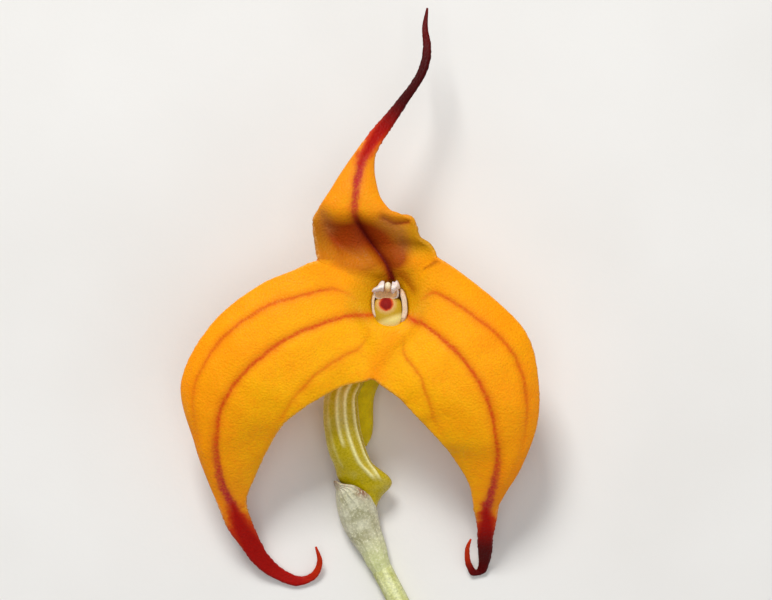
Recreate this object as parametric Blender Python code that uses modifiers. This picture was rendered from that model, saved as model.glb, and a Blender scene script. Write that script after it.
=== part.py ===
"""Masdevallia orchid: one picked bloom on its cut stem, lying on its back with its face up.

The organs are modelled in millimetres round the throat, where +Z looks out of the flower and
+Y runs up its dorsal tail, and hang from an empty that stands at the throat. The tube's elbow
rests on the ground at the world's origin.
"""
import math

import bmesh
import bpy
import numpy as np

MM = 0.001
COLLECTION = "masdevallia_orchid"
CUTTERS = "cutters"

# Height of the throat over the ground, and where the tube's resting place lies in plan
THROAT_HEIGHT = 14.6
REST_IN_PLAN = (-4.75, -14.2)
THROAT = (-REST_IN_PLAN[0], -REST_IN_PLAN[1], THROAT_HEIGHT)
FLOOR = -THROAT_HEIGHT
GROUND_BLOCK = (60.0, 60.0, 4.0)

# Thickness of the fleshy organs and the clearance between neighbours
SEPAL_WALL = 0.75
PETAL_WALL = 0.62
BRACT_WALL = 0.62
GAP = 0.3

# Where the sepals part from each other
SINUS_LATERAL = (-2.3, -9.5, 0.3)
SINUS_LEFT = (-9.3, 5.7, 0.8)
SINUS_RIGHT = (6.1, 6.2, 1.2)

# Edges between the sepals round the throat, as angles in plan
SEAM_LATERAL = 270
SEAM_LEFT = 150
SEAM_RIGHT = 30

# Sepaline tube from its chin up to the throat: centre and the two radii of the wall's middle
TUBE = [
    (-4.2, -18.95, -12.75, 0.0, 0.0),
    (-4.2, -18.7, -12.7, 0.85, 0.85),
    (-4.35, -18.0, -12.6, 1.45, 1.45),
    (-4.55, -16.6, -12.4, 1.95, 1.95),
    (-4.75, -14.6, -12.15, 2.2, 2.2),
    (-4.85, -12.0, -11.9, 2.42, 2.42),
    (-4.2, -9.4, -11.3, 2.65, 2.65),
    (-2.8, -6.3, -9.5, 2.85, 2.85),
    (-1.3, -3.1, -6.6, 3.0, 3.0),
    (-0.3, -0.9, -3.2, 3.0, 3.3),
    (0.0, 0.0, -0.35, 2.98, 3.6),
]

# The throat's rounded rim, as a share of the way from the tube's mouth to the sepals' parting
RIM_SHARE = 0.16
RIM_HEIGHT = 0.25

# Sepal blades: inner or left margin, midrib, outer or right margin
LEFT_BLADE = [
    (SINUS_LATERAL, (-5.8, -1.4, 0.6), SINUS_LEFT),
    ((-5.9, -10.5, 0.0), (-9.3, -2.6, 1.1), (-12.6, 4.5, 0.2)),
    ((-9.6, -12.4, -0.4), (-13.5, -4.5, 1.3), (-17.1, 2.5, -0.5)),
    ((-12.3, -14.2, -0.9), (-18.0, -7.9, 0.8), (-23.2, -2.5, -1.3)),
    ((-13.9, -15.6, -1.8), (-21.5, -12.4, -0.6), (-27.2, -10.0, -2.8)),
    ((-15.4, -17.8, -3.6), (-22.8, -18.1, -3.0), (-25.8, -18.3, -4.6)),
    ((-17.9, -22.5, -6.4), (-22.0, -23.5, -5.8), (-23.8, -23.9, -6.6)),
]
RIGHT_BLADE = [
    (SINUS_LATERAL, (5.2, -3.4, 0.6), SINUS_RIGHT),
    ((1.0, -12.0, -0.1), (6.8, -4.4, 1.1), (10.3, 3.4, 0.3)),
    ((1.9, -12.9, -0.6), (8.8, -6.3, 1.3), (15.1, -0.6, -0.4)),
    ((3.4, -14.5, -1.0), (11.2, -9.5, 1.0), (18.3, -4.9, -1.2)),
    ((4.5, -15.6, -1.7), (12.9, -13.0, 0.2), (19.4, -11.1, -2.2)),
    ((6.7, -18.0, -2.6), (13.7, -16.7, -1.2), (19.1, -15.9, -3.2)),
    ((8.1, -19.7, -4.2), (14.0, -20.6, -3.4), (17.2, -21.1, -4.6)),
    ((10.6, -24.1, -6.2), (13.3, -24.7, -5.8), (15.0, -25.1, -6.4)),
]
DORSAL_BLADE = [
    (SINUS_LEFT, (-0.9, 5.6, 0.2), SINUS_RIGHT),
    ((-10.0, 8.4, 0.6), (-2.3, 7.7, -0.1), (5.6, 7.9, 1.4)),
    ((-10.1, 10.8, 1.0), (-3.9, 10.2, 1.2), (3.5, 9.4, 2.6)),
    ((-9.3, 12.6, 1.8), (-4.5, 12.4, 2.8), (3.0, 11.6, 3.3)),
    ((-8.3, 14.1, 1.9), (-4.5, 14.5, 3.3), (-1.2, 13.8, 2.4)),
    ((-6.7, 16.7, 1.6), (-4.1, 16.7, 2.5), (-2.0, 16.4, 1.6)),
    ((-5.2, 19.1, 0.9), (-3.5, 18.8, 1.6), (-1.9, 18.6, 0.9)),
]

# Tails: middle and half width
LEFT_TAIL = [
    (-20.8, -26.4, -7.6, 1.9), (-20.0, -29.0, -9.2, 1.7), (-18.7, -31.6, -11.0, 1.35),
    (-17.1, -34.2, -12.6, 1.12), (-14.9, -36.1, -13.8, 0.85), (-12.1, -37.1, -14.2, 0.62),
    (-10.3, -36.4, -13.9, 0.52), (-9.4, -34.7, -13.0, 0.42), (-9.6, -32.5, -11.9, 0.3),
]
RIGHT_TAIL = [
    (12.7, -26.9, -7.4, 1.6), (12.8, -28.8, -8.8, 1.25), (12.7, -30.9, -10.4, 1.05),
    (12.7, -33.0, -12.2, 0.95), (12.6, -34.6, -13.6, 0.72), (12.2, -35.75, -14.15, 0.55),
    (11.4, -36.0, -14.15, 0.46), (10.7, -35.1, -13.4, 0.42), (10.35, -33.7, -12.5, 0.38),
    (10.4, -32.3, -11.5, 0.34), (10.8, -31.2, -10.8, 0.3),
]
DORSAL_TAIL = [
    (-2.7, 20.4, 0.9, 1.15), (-1.6, 22.1, 0.2, 1.02), (0.0, 24.2, -0.8, 0.85),
    (1.4, 26.2, -1.7, 0.7), (2.9, 28.3, -2.6, 0.58), (4.1, 30.3, -3.4, 0.52),
    (4.7, 32.1, -4.0, 0.52), (4.9, 34.2, -4.5, 0.46), (4.6, 36.4, -5.0, 0.4),
    (4.9, 38.7, -5.4, 0.3),
]

# How late the blade's margins roll back, and how finely the sepals are divided
MARGIN_ROLL = 2.6
SEPAL_ACROSS = 8
TUBE_STEPS = 2
BLADE_STEPS = 2
TAIL_STEPS = 2

# Ovary and pedicel: centre, half width and half depth, from the tube down to the stem
OVARY = [
    (-5.2, -9.6, -8.6, 2.0, 1.6), (-6.4, -11.6, -8.1, 2.3, 1.8), (-6.6, -14.5, -8.0, 2.5, 1.8),
    (-6.2, -17.5, -8.4, 2.5, 1.8), (-5.5, -20.0, -9.2, 2.4, 1.75), (-4.1, -21.8, -10.2, 2.55, 1.75),
    (-2.45, -23.1, -11.1, 2.6, 1.7), (-2.3, -25.0, -11.9, 1.3, 1.15), (-3.1, -27.8, -12.6, 0.8, 0.8),
    (-2.5, -31.4, -12.85, 0.74, 0.74), (-1.72, -34.2, -12.95, 0.7, 0.7),
]
OVARY_RIBS = 6
OVARY_RIB_HEIGHT = 0.07
OVARY_SIDES = 24
OVARY_TWIST = 0.06

# Floral bract: centre, half width, half depth of the wall's middle, and the half angle it wraps
BRACT = [
    (-1.6, -34.25, -12.9, 1.32, 1.32, 165), (-2.2, -32.6, -12.85, 1.6, 1.38, 152),
    (-3.0, -31.2, -12.7, 1.85, 1.55, 138), (-3.95, -28.8, -12.4, 2.2, 1.85, 112),
    (-4.6, -26.6, -12.15, 2.3, 2.45, 92), (-5.0, -24.7, -12.0, 2.35, 3.0, 70),
    (-6.4, -23.5, -11.9, 0.8, 2.9, 40),
]
BRACT_FACING = 150
BRACT_ACROSS = 10

# Stem: middle line and radius
STEM = [
    (-1.4, -34.8, -13.25, 1.3), (-0.05, -37.4, -13.15, 1.36), (2.4, -42.2, -13.05, 1.42),
    (5.2, -48.2, -12.95, 1.44), (7.9, -55.0, -12.9, 1.44), (10.2, -62.0, -12.9, 1.44),
    (12.1, -69.0, -12.95, 1.44), (13.5, -76.0, -13.05, 1.45), (14.4, -83.0, -13.12, 1.45),
    (14.8, -90.0, -13.14, 1.45),
]

# Organs in the throat, in plan at the mouth, and the heights of their ends
LEFT_PETAL_LINE = [(-1.65, 1.6), (-1.9, 1.0), (-2.0, -0.2), (-1.85, -1.3)]
RIGHT_PETAL_LINE = [(1.65, 1.6), (1.85, 1.0), (1.95, 0.0), (1.85, -1.2)]
PETAL_LENGTH = 7.2
PETAL_TIP = 0.8
PETAL_TIP_ROUNDING = 0.72
PETAL_TAPER = 0.25
PETAL_STEPS = 6
COLUMN_CENTRE = (-0.05, 1.35)
COLUMN_RADIUS = 1.0
COLUMN_WALL = 0.55
COLUMN_TIP = 1.5
COLUMN_LENGTH = 8.1
COLUMN_TAPER = 0.4
COLUMN_STEPS = 8
COLUMN_OPENING = (-25, 205)
COLUMN_ACROSS = 8
COLUMN_FLARE = 0.5
COLUMN_TEETH = 0.3
LIP_LINE = [
    (-0.2, -0.6, -7.2, 0.5), (-0.25, -1.1, -5.0, 0.7), (-0.3, -1.7, -2.6, 0.8),
    (-0.3, -2.15, -0.8, 0.8), (-0.3, -2.0, 0.35, 0.95), (-0.3, -1.15, 0.8, 1.0),
    (-0.3, -0.35, 0.6, 0.7),
]
LIP_HALF_WALL = 0.36
LIP_TAPER = 0.3
ANTHER_CENTRE = (-0.05, 1.55, 1.5)
ANTHER_RADII = (0.34, 0.32, 0.4)


def clear_scene():
    """Removes everything that the new file came with."""
    for item in list(bpy.data.objects):
        bpy.data.objects.remove(item, do_unlink=True)


def new_collection(name):
    """Makes a collection under the scene."""
    made = bpy.data.collections.new(name)
    bpy.context.scene.collection.children.link(made)
    return made


def new_material(name, colour, roughness):
    """A plain Principled material."""
    material = bpy.data.materials.new(name)
    material.use_nodes = True
    shader = material.node_tree.nodes["Principled BSDF"]
    shader.inputs["Base Color"].default_value = (*colour, 1.0)
    shader.inputs["Roughness"].default_value = roughness
    shader.inputs["Metallic"].default_value = 0.0
    return material


def tangents(places, rows):
    """Slope of a smooth line through rows that stand at uneven places."""
    slopes = np.zeros_like(rows)
    steps = np.diff(places)
    chords = np.diff(rows, axis=0) / steps.reshape((-1,) + (1,) * (rows.ndim - 1))
    slopes[0] = chords[0]
    slopes[-1] = chords[-1]
    for i in range(1, len(rows) - 1):
        before, after = steps[i - 1], steps[i]
        slopes[i] = (chords[i] * before + chords[i - 1] * after) / (before + after)
    return slopes


def hermite(places, rows, arriving, leaving, at):
    """Value at one place of the smooth line through the rows."""
    i = int(np.clip(np.searchsorted(places, at, side="right") - 1, 0, len(rows) - 2))
    span = places[i + 1] - places[i]
    u = (at - places[i]) / span
    h00 = 2 * u ** 3 - 3 * u ** 2 + 1
    h10 = u ** 3 - 2 * u ** 2 + u
    h01 = 3 * u ** 2 - 2 * u ** 3
    h11 = u ** 3 - u ** 2
    return (h00 * rows[i] + h10 * span * leaving[i]
            + h01 * rows[i + 1] + h11 * span * arriving[i + 1])


def divide(places, steps):
    """Places with each span split into equal steps."""
    out = [places[0]]
    for a, b in zip(places[:-1], places[1:]):
        out.extend(a + (b - a) * (k + 1) / steps for k in range(steps))
    return out


def smooth_line(points, steps):
    """A finer smooth line through points that carry any number of values."""
    rows = np.array(points, dtype=float)
    lengths = np.linalg.norm(np.diff(rows[:, :3], axis=0), axis=1)
    places = np.concatenate([[0.0], np.cumsum(lengths)])
    slopes = tangents(places, rows)
    return np.array([hermite(places, rows, slopes, slopes, at) for at in divide(places, steps)])


def frames(line):
    """Direction, side and up of each point of a line, the side kept level with +X."""
    ways = np.gradient(line[:, :3], axis=0)
    ways /= np.linalg.norm(ways, axis=1)[:, None]
    sides = np.array([1.0, 0.0, 0.0]) - ways * ways[:, :1]
    sides /= np.linalg.norm(sides, axis=1)[:, None]
    return ways, sides, np.cross(ways, sides)


def tube_ring(centre, side, up, radii, degrees):
    """Points of the tube's wall at the given angles."""
    turn = np.radians(degrees)[:, None]
    return centre + np.cos(turn) * radii[0] * side + np.sin(turn) * radii[1] * up


def across_blade(low, middle, high, shares):
    """A blade's section: a curve through three points whose ends roll back."""
    low, middle, high = (np.array(p, dtype=float) for p in (low, middle, high))
    s = shares[:, None]
    points = low * s * (s - 1) / 2 + middle * (1 - s * s) + high * s * (s + 1) / 2
    ends = np.where(shares < 0, low[2], high[2])
    points[:, 2] = middle[2] + (ends - middle[2]) * np.abs(shares) ** MARGIN_ROLL
    return points


def tail_row(point, way, shares, hand):
    """A straight row across a tail. The hand says to which side its shares rise."""
    flat = np.array([way[0], way[1], 0.0])
    flat /= np.linalg.norm(flat)
    side = np.array([flat[1], -flat[0], 0.0]) * hand
    return point[:3] + shares[:, None] * point[3] * side


def sepal_rows(blade, tail, low_seam, high_seam):
    """Rows of points over one sepal from the chin to the tail's tip, and their places."""
    shares = np.linspace(-1, 1, SEPAL_ACROSS + 1)
    span = (high_seam - low_seam) % 360
    if span > 180:
        span -= 360
    degrees = low_seam + span * (shares + 1) / 2
    line = np.array(TUBE)
    ways, sides, _ = frames(line)
    rows = [tube_ring(p[:3], s, np.cross(w, s), p[3:], degrees) for p, s, w in zip(line, sides, ways)]
    first = across_blade(*blade[0], shares)
    rim = rows[-1] + (first - rows[-1]) * RIM_SHARE
    rim[:, 2] += RIM_HEIGHT
    lengths = np.linalg.norm(np.diff(line[:, :3], axis=0), axis=1)
    places = list(np.concatenate([[0.0], np.cumsum(lengths)]))
    rows.append(rim)
    places.append(places[-1] + 1.3)
    rows.append(first)
    places.append(places[-1] + 5.5)
    parting = len(rows) - 1
    ends = np.array(tail)
    tail_ways = np.gradient(ends[:, :3], axis=0)
    mids = [np.array(b[1]) for b in blade] + [e[:3] for e in ends]
    for section in blade[1:]:
        rows.append(across_blade(*section, shares))
    across = rows[-1][-1] - rows[-1][0]
    hand = math.copysign(1.0, tail_ways[0][1] * across[0] - tail_ways[0][0] * across[1])
    for point, way in zip(ends, tail_ways):
        rows.append(tail_row(point, way, shares, hand))
    for a, b in zip(mids[:-1], mids[1:]):
        places.append(places[-1] + float(np.linalg.norm(b - a)))
    return np.array(places), np.array(rows), parting, shares


def sepal_grid(blade, tail, low_seam, high_seam):
    """The fine grid of one sepal. Its rows up to the parting meet its neighbours' exactly."""
    places, rows, parting, shares = sepal_rows(blade, tail, low_seam, high_seam)
    leaving = tangents(places, rows)
    arriving = leaving.copy()
    chord = (rows[parting] - rows[parting - 1]) / (places[parting] - places[parting - 1])
    edge = (np.abs(shares) ** 4)[:, None]
    arriving[parting] = leaving[parting] * (1 - edge) + chord * edge
    at = divide(places[:parting + 1], TUBE_STEPS)
    at += divide(places[parting:parting + len(blade)], BLADE_STEPS)[1:]
    at += divide(places[parting + len(blade) - 1:], TAIL_STEPS)[1:]
    return np.array([hermite(places, rows, arriving, leaving, a) for a in at])


def mesh_object(name, build, material, home, empty):
    """Makes an object from a bmesh that a function fills, in millimetres round the throat."""
    shape = bmesh.new()
    build(shape)
    bmesh.ops.scale(shape, vec=(MM, MM, MM), verts=shape.verts)
    mesh = bpy.data.meshes.new(name)
    shape.to_mesh(mesh)
    shape.free()
    made = bpy.data.objects.new(name, mesh)
    home.objects.link(made)
    if material:
        mesh.materials.append(material)
    made.parent = empty
    mesh.shade_smooth()
    return made


def add_grid(shape, rows):
    """Quads over a grid of points, which face to the left of the rows' travel."""
    grid = [[shape.verts.new(p) for p in row] for row in rows]
    for low, high in zip(grid[:-1], grid[1:]):
        for i in range(len(low) - 1):
            shape.faces.new((low[i], low[i + 1], high[i + 1], high[i]))


def add_loft(shape, rings):
    """A closed body through rings with equal numbers of points, with flat ends."""
    loops = [[shape.verts.new(p) for p in ring] for ring in rings]
    count = len(loops[0])
    for low, high in zip(loops[:-1], loops[1:]):
        for i in range(count):
            j = (i + 1) % count
            shape.faces.new((low[i], low[j], high[j], high[i]))
    shape.faces.new(loops[0][::-1])
    shape.faces.new(loops[-1])
    bmesh.ops.recalc_face_normals(shape, faces=shape.faces)


def solidify(made, thickness):
    """Gives an open surface an equal wall on both sides."""
    wall = made.modifiers.new("wall", "SOLIDIFY")
    wall.thickness = thickness * MM
    wall.offset = 0.0
    wall.use_even_offset = False
    wall.use_quality_normals = True


def cut_away(made, cutter, name):
    """Takes a cutter out of an object."""
    cut = made.modifiers.new(name, "BOOLEAN")
    cut.operation = "DIFFERENCE"
    cut.solver = "EXACT"
    cut.object = cutter


def mark_cutter(made):
    """Keeps a cutter out of the finished object."""
    made.hide_render = True
    made.display_type = "WIRE"


def make_sepals(material, home, empty):
    """The three sepals, grown together into one tube with a chin."""
    grids = [
        sepal_grid(LEFT_BLADE, LEFT_TAIL, SEAM_LATERAL, SEAM_LEFT),
        sepal_grid(RIGHT_BLADE, RIGHT_TAIL, SEAM_LATERAL, SEAM_RIGHT),
        sepal_grid(DORSAL_BLADE, DORSAL_TAIL, SEAM_LEFT, SEAM_RIGHT),
    ]

    def build(shape):
        for rows in grids:
            add_grid(shape, rows)
        bmesh.ops.remove_doubles(shape, verts=shape.verts, dist=0.02)
        bmesh.ops.dissolve_degenerate(shape, edges=shape.edges, dist=0.001)
        bmesh.ops.recalc_face_normals(shape, faces=shape.faces)

    made = mesh_object("sepals", build, material, home, empty)
    solidify(made, SEPAL_WALL)
    return made


def make_floor_cutter(home, empty):
    """A block under the ground plane, which leaves a flat place on the tube's elbow."""
    def build(shape):
        bmesh.ops.create_cube(shape, size=1.0)
        bmesh.ops.scale(shape, vec=GROUND_BLOCK, verts=shape.verts)
        below = (REST_IN_PLAN[0], REST_IN_PLAN[1], FLOOR - GROUND_BLOCK[2] / 2)
        bmesh.ops.translate(shape, vec=below, verts=shape.verts)

    made = mesh_object("ground_cutter", build, None, home, empty)
    mark_cutter(made)
    return made


def ellipse(centre, side, up, half_wide, half_deep, count, ribs=0, height=0.0, turn=0.0):
    """A ring round a line, with ribs where they are asked for."""
    angles = np.linspace(0, 2 * math.pi, count, endpoint=False)
    swell = 1 + height * np.cos(ribs * (angles + turn))
    return (centre + (np.cos(angles) * swell * half_wide)[:, None] * side
            + (np.sin(angles) * swell * half_deep)[:, None] * up)


def make_tube_cutter(home, empty):
    """The tube's outside with clearance, which copes the ovary to it."""
    line = smooth_line(TUBE[2:], 2)
    _, sides, ups = frames(line)
    grow = SEPAL_WALL / 2 + GAP
    rings = [ellipse(p[:3], s, u, p[3] + grow, p[4] + grow, 24)
             for p, s, u in zip(line, sides, ups)]
    made = mesh_object("tube_cutter", lambda shape: add_loft(shape, rings), None, home, empty)
    mark_cutter(made)
    return made


def make_ovary(material, home, empty, tube_cutter):
    """The ribbed ovary with its knee and the pedicel below it."""
    line = smooth_line(OVARY, 2)
    _, sides, ups = frames_from_above(line)
    rings = []
    for i, (p, s, u) in enumerate(zip(line, sides, ups)):
        ribs = OVARY_RIB_HEIGHT if p[3] > 1.2 else 0.0
        rings.append(ellipse(p[:3], s, u, p[3], p[4], OVARY_SIDES, OVARY_RIBS, ribs, i * OVARY_TWIST))
    made = mesh_object("ovary_and_pedicel", lambda shape: add_loft(shape, rings), material, home, empty)
    cut_away(made, tube_cutter, "seat on the tube")
    return made


def frames_from_above(line):
    """Direction, level side and upward of each point of a line that runs over the ground."""
    ways = np.gradient(line[:, :3], axis=0)
    ways /= np.linalg.norm(ways, axis=1)[:, None]
    sides = np.cross(ways, np.array([0.0, 0.0, 1.0]))
    sides /= np.linalg.norm(sides, axis=1)[:, None]
    return ways, sides, np.cross(sides, ways)


def make_bract(material, home, empty):
    """The papery funnel that wraps the pedicel, open to one side, with a drawn-out tip."""
    line = smooth_line(BRACT, 2)
    ways, _, _ = frames_from_above(line)
    shares = np.linspace(-1, 1, BRACT_ACROSS + 1)
    rows = []
    for p, w in zip(line, ways):
        side = np.array([-w[1], w[0], 0.0])
        side /= -np.linalg.norm(side)
        turn = np.radians(BRACT_FACING + shares * p[5])[:, None]
        rows.append(p[:3] + np.cos(turn) * p[3] * side + np.sin(turn) * p[4] * np.array([0, 0, 1.0]))

    def build(shape):
        add_grid(shape, rows)
        bmesh.ops.recalc_face_normals(shape, faces=shape.faces)

    made = mesh_object("floral_bract", build, material, home, empty)
    solidify(made, BRACT_WALL)
    return made


def make_stem(material, home, empty):
    """The cut flower stem, a round tube along its middle line."""
    curve = bpy.data.curves.new("stem", "CURVE")
    curve.dimensions = "3D"
    curve.bevel_depth = MM
    curve.bevel_resolution = 3
    curve.use_fill_caps = True
    line = smooth_line(STEM, 2)
    spline = curve.splines.new("POLY")
    spline.points.add(len(line) - 1)
    for point, value in zip(spline.points, line):
        point.co = (*(value[:3] * MM), 1.0)
        point.radius = value[3]
    curve.materials.append(material)
    made = bpy.data.objects.new("stem", curve)
    home.objects.link(made)
    made.parent = empty
    return made


def inside_tube(x, y, z, slim):
    """Carries a place in the mouth's plan down the tube, along its middle."""
    line = smooth_line(TUBE[5:], 4)[::-1]
    centre_x = np.interp(-z, -line[:, 2], line[:, 0])
    centre_y = np.interp(-z, -line[:, 2], line[:, 1])
    return np.array([centre_x + x * slim, centre_y + y * slim, z])


def make_petal(name, outline, material, home, empty):
    """A small petal that stands along the column inside the tube."""
    line = np.array(outline)
    middle = line.mean(axis=0)
    rows = []
    for k in range(PETAL_STEPS + 1):
        share = k / PETAL_STEPS
        z = PETAL_TIP - PETAL_LENGTH * share
        rounding = 1.0 if k else PETAL_TIP_ROUNDING
        rows.append([inside_tube(*(middle + (p - middle) * rounding), z, 1.0 - PETAL_TAPER * share)
                     for p in line])

    def build(shape):
        add_grid(shape, rows)
        bmesh.ops.recalc_face_normals(shape, faces=shape.faces)

    made = mesh_object(name, build, material, home, empty)
    solidify(made, PETAL_WALL)
    return made


def make_column(material, home, empty):
    """The column: a half-round hood with a toothed tip, open to the lip."""
    angles = np.radians(np.linspace(*COLUMN_OPENING, COLUMN_ACROSS + 1))
    sheets = []
    for less in (0.0, COLUMN_WALL):
        rows = []
        for k in range(COLUMN_STEPS + 1):
            share = k / COLUMN_STEPS
            z = COLUMN_TIP - COLUMN_LENGTH * share
            flare = COLUMN_FLARE if k == 0 else 0.0
            row = []
            for i, angle in enumerate(angles):
                tooth = COLUMN_TEETH * (1 if i % 2 == 0 else -1) if k == 0 else 0.0
                radius = COLUMN_RADIUS + flare - less
                x = COLUMN_CENTRE[0] + math.cos(angle) * radius
                y = COLUMN_CENTRE[1] + math.sin(angle) * radius
                row.append(inside_tube(x, y, z + tooth, 1.0 - COLUMN_TAPER * share))
            rows.append(row)
        sheets.append(rows)

    def build(shape):
        for rows in sheets:
            add_grid(shape, rows)
        outside, inside = sheets
        add_grid(shape, [outside[0], inside[0]])
        add_grid(shape, [outside[-1], inside[-1]])
        for end in (0, -1):
            add_grid(shape, [[row[end] for row in outside], [row[end] for row in inside]])
        bmesh.ops.remove_doubles(shape, verts=shape.verts, dist=0.001)
        bmesh.ops.recalc_face_normals(shape, faces=shape.faces)

    return mesh_object("column", build, material, home, empty)


def make_lip(material, home, empty):
    """The lip: a fleshy tongue that rises in the tube and bends over towards the column."""
    line = smooth_line(LIP_LINE, 2)
    ways = np.gradient(line[:, :3], axis=0)
    rings = []
    for p, w in zip(line, ways):
        w = w / np.linalg.norm(w)
        thick = np.cross(w, np.array([1.0, 0.0, 0.0]))
        thick /= np.linalg.norm(thick)
        ring = ellipse(p[:3], np.array([1.0, 0, 0]), thick, p[3], LIP_HALF_WALL, 12)
        slim = 1.0 - LIP_TAPER * min(p[2], 0.0) / LIP_LINE[0][2]
        rings.append([inside_tube(*(q[:2]), q[2], slim) for q in ring])
    return mesh_object("lip", lambda shape: add_loft(shape, rings), material, home, empty)


def make_anther_cap(material, home, empty):
    """The cream cap over the column's tip."""
    def build(shape):
        bmesh.ops.create_uvsphere(shape, u_segments=12, v_segments=8, radius=1.0)
        bmesh.ops.scale(shape, vec=ANTHER_RADII, verts=shape.verts)
        bmesh.ops.translate(shape, vec=ANTHER_CENTRE, verts=shape.verts)

    return mesh_object("anther_cap", build, material, home, empty)


def main():
    """Builds the whole flower."""
    clear_scene()
    home = new_collection(COLLECTION)
    cutters = new_collection(CUTTERS)
    empty = bpy.data.objects.new("throat", None)
    empty.empty_display_size = 3 * MM
    home.objects.link(empty)
    empty.location = [value * MM for value in THROAT]

    orange = new_material("sepal_orange", (0.86, 0.32, 0.012), 0.5)
    white = new_material("petal_white", (0.75, 0.6, 0.45), 0.4)
    tan = new_material("column_tan", (0.62, 0.45, 0.3), 0.4)
    yellow = new_material("lip_yellow", (0.6, 0.45, 0.08), 0.4)
    cream = new_material("anther_cream", (0.8, 0.72, 0.55), 0.4)
    green = new_material("ovary_green", (0.45, 0.4, 0.04), 0.45)
    grey = new_material("bract_grey", (0.5, 0.48, 0.34), 0.7)
    pale = new_material("stem_green", (0.6, 0.62, 0.3), 0.5)

    sepals = make_sepals(orange, home, empty)
    cut_away(sepals, make_floor_cutter(cutters, empty), "flat resting place")
    make_petal("petal_left", LEFT_PETAL_LINE, white, home, empty)
    make_petal("petal_right", RIGHT_PETAL_LINE, white, home, empty)
    make_column(tan, home, empty)
    make_lip(yellow, home, empty)
    make_anther_cap(cream, home, empty)
    make_ovary(green, home, empty, make_tube_cutter(cutters, empty))
    make_bract(grey, home, empty)
    make_stem(pale, home, empty)


if __name__ == "__main__":
    main()
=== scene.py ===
"""Masdevallia orchid: the finished look of one picked bloom that lies on its back.

Lengths in the tables are millimetres round the flower's throat, where +Z looks out of the face
and +Y runs up the dorsal tail. The meshes are written in metres, in the frame of the loaded model.
"""
import math

import bmesh
import bpy
import numpy as np
from bpy.props import FloatProperty, FloatVectorProperty, PointerProperty
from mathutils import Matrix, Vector


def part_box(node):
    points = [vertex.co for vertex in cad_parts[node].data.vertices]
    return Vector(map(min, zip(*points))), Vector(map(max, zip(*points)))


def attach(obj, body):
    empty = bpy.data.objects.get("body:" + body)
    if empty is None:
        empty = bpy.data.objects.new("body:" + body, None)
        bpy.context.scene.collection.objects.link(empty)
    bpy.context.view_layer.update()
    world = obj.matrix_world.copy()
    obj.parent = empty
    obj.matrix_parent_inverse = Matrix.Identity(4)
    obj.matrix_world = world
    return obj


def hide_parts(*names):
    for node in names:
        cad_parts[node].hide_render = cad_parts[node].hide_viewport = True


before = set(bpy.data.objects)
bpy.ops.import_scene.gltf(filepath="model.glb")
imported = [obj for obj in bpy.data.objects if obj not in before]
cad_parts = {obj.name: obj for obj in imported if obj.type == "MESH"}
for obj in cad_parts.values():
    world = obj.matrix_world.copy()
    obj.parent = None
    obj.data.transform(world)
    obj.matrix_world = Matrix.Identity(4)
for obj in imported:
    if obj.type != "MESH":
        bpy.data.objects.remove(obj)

bl_info = {
    "name": "Masdevallia orchid",
    "version": (1, 0, 0),
    "blender": (4, 5, 0),
    "location": "3D View > Sidebar > Orchid",
    "description": "Builds the finished look of a picked masdevallia flower, piece by piece",
    "category": "Add Mesh",
}

MM = 0.001
RIGHTWARD = np.array([1.0, 0.0, 0.0])
UPWARD = np.array([0.0, 0.0, 1.0])
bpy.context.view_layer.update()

# The anther cap's middle as seen from the throat, which places the throat in the frame
ANTHER_FROM_THROAT = np.array((-0.05, 1.55, 1.5))
THROAT = sum(np.array(corner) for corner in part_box("anther_cap")) / 2 / MM - ANTHER_FROM_THROAT

# Where the sepals part, and the angles of their edges round the throat
SINUS_LATERAL = (-2.3, -9.5, 0.3)
SINUS_LEFT = (-9.3, 5.7, 0.8)
SINUS_RIGHT = (6.1, 6.2, 1.2)
SEAM_LATERAL = 270
SEAM_LEFT = 150
SEAM_RIGHT = 30

# Sepaline tube from its chin up to the throat: centre and two radii
TUBE = [
    (-4.2, -18.95, -12.75, 0.0, 0.0), (-4.2, -18.7, -12.7, 0.85, 0.85),
    (-4.35, -18.0, -12.6, 1.45, 1.45), (-4.55, -16.6, -12.4, 1.95, 1.95),
    (-4.75, -14.6, -12.1, 2.15, 2.15), (-4.85, -12.0, -11.82, 2.4, 2.4),
    (-4.2, -9.4, -11.25, 2.65, 2.65), (-2.8, -6.3, -9.5, 2.85, 2.85),
    (-1.3, -3.1, -6.6, 3.0, 3.0), (-0.3, -0.9, -3.2, 2.95, 3.3),
    (-0.05, 0.1, -0.35, 2.8, 3.5),
]
# The mouth's rim: how far it leans towards the first section, and how much it stands up
RIM_SHARE = 0.16
RIM_HEIGHT = 0.25

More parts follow.
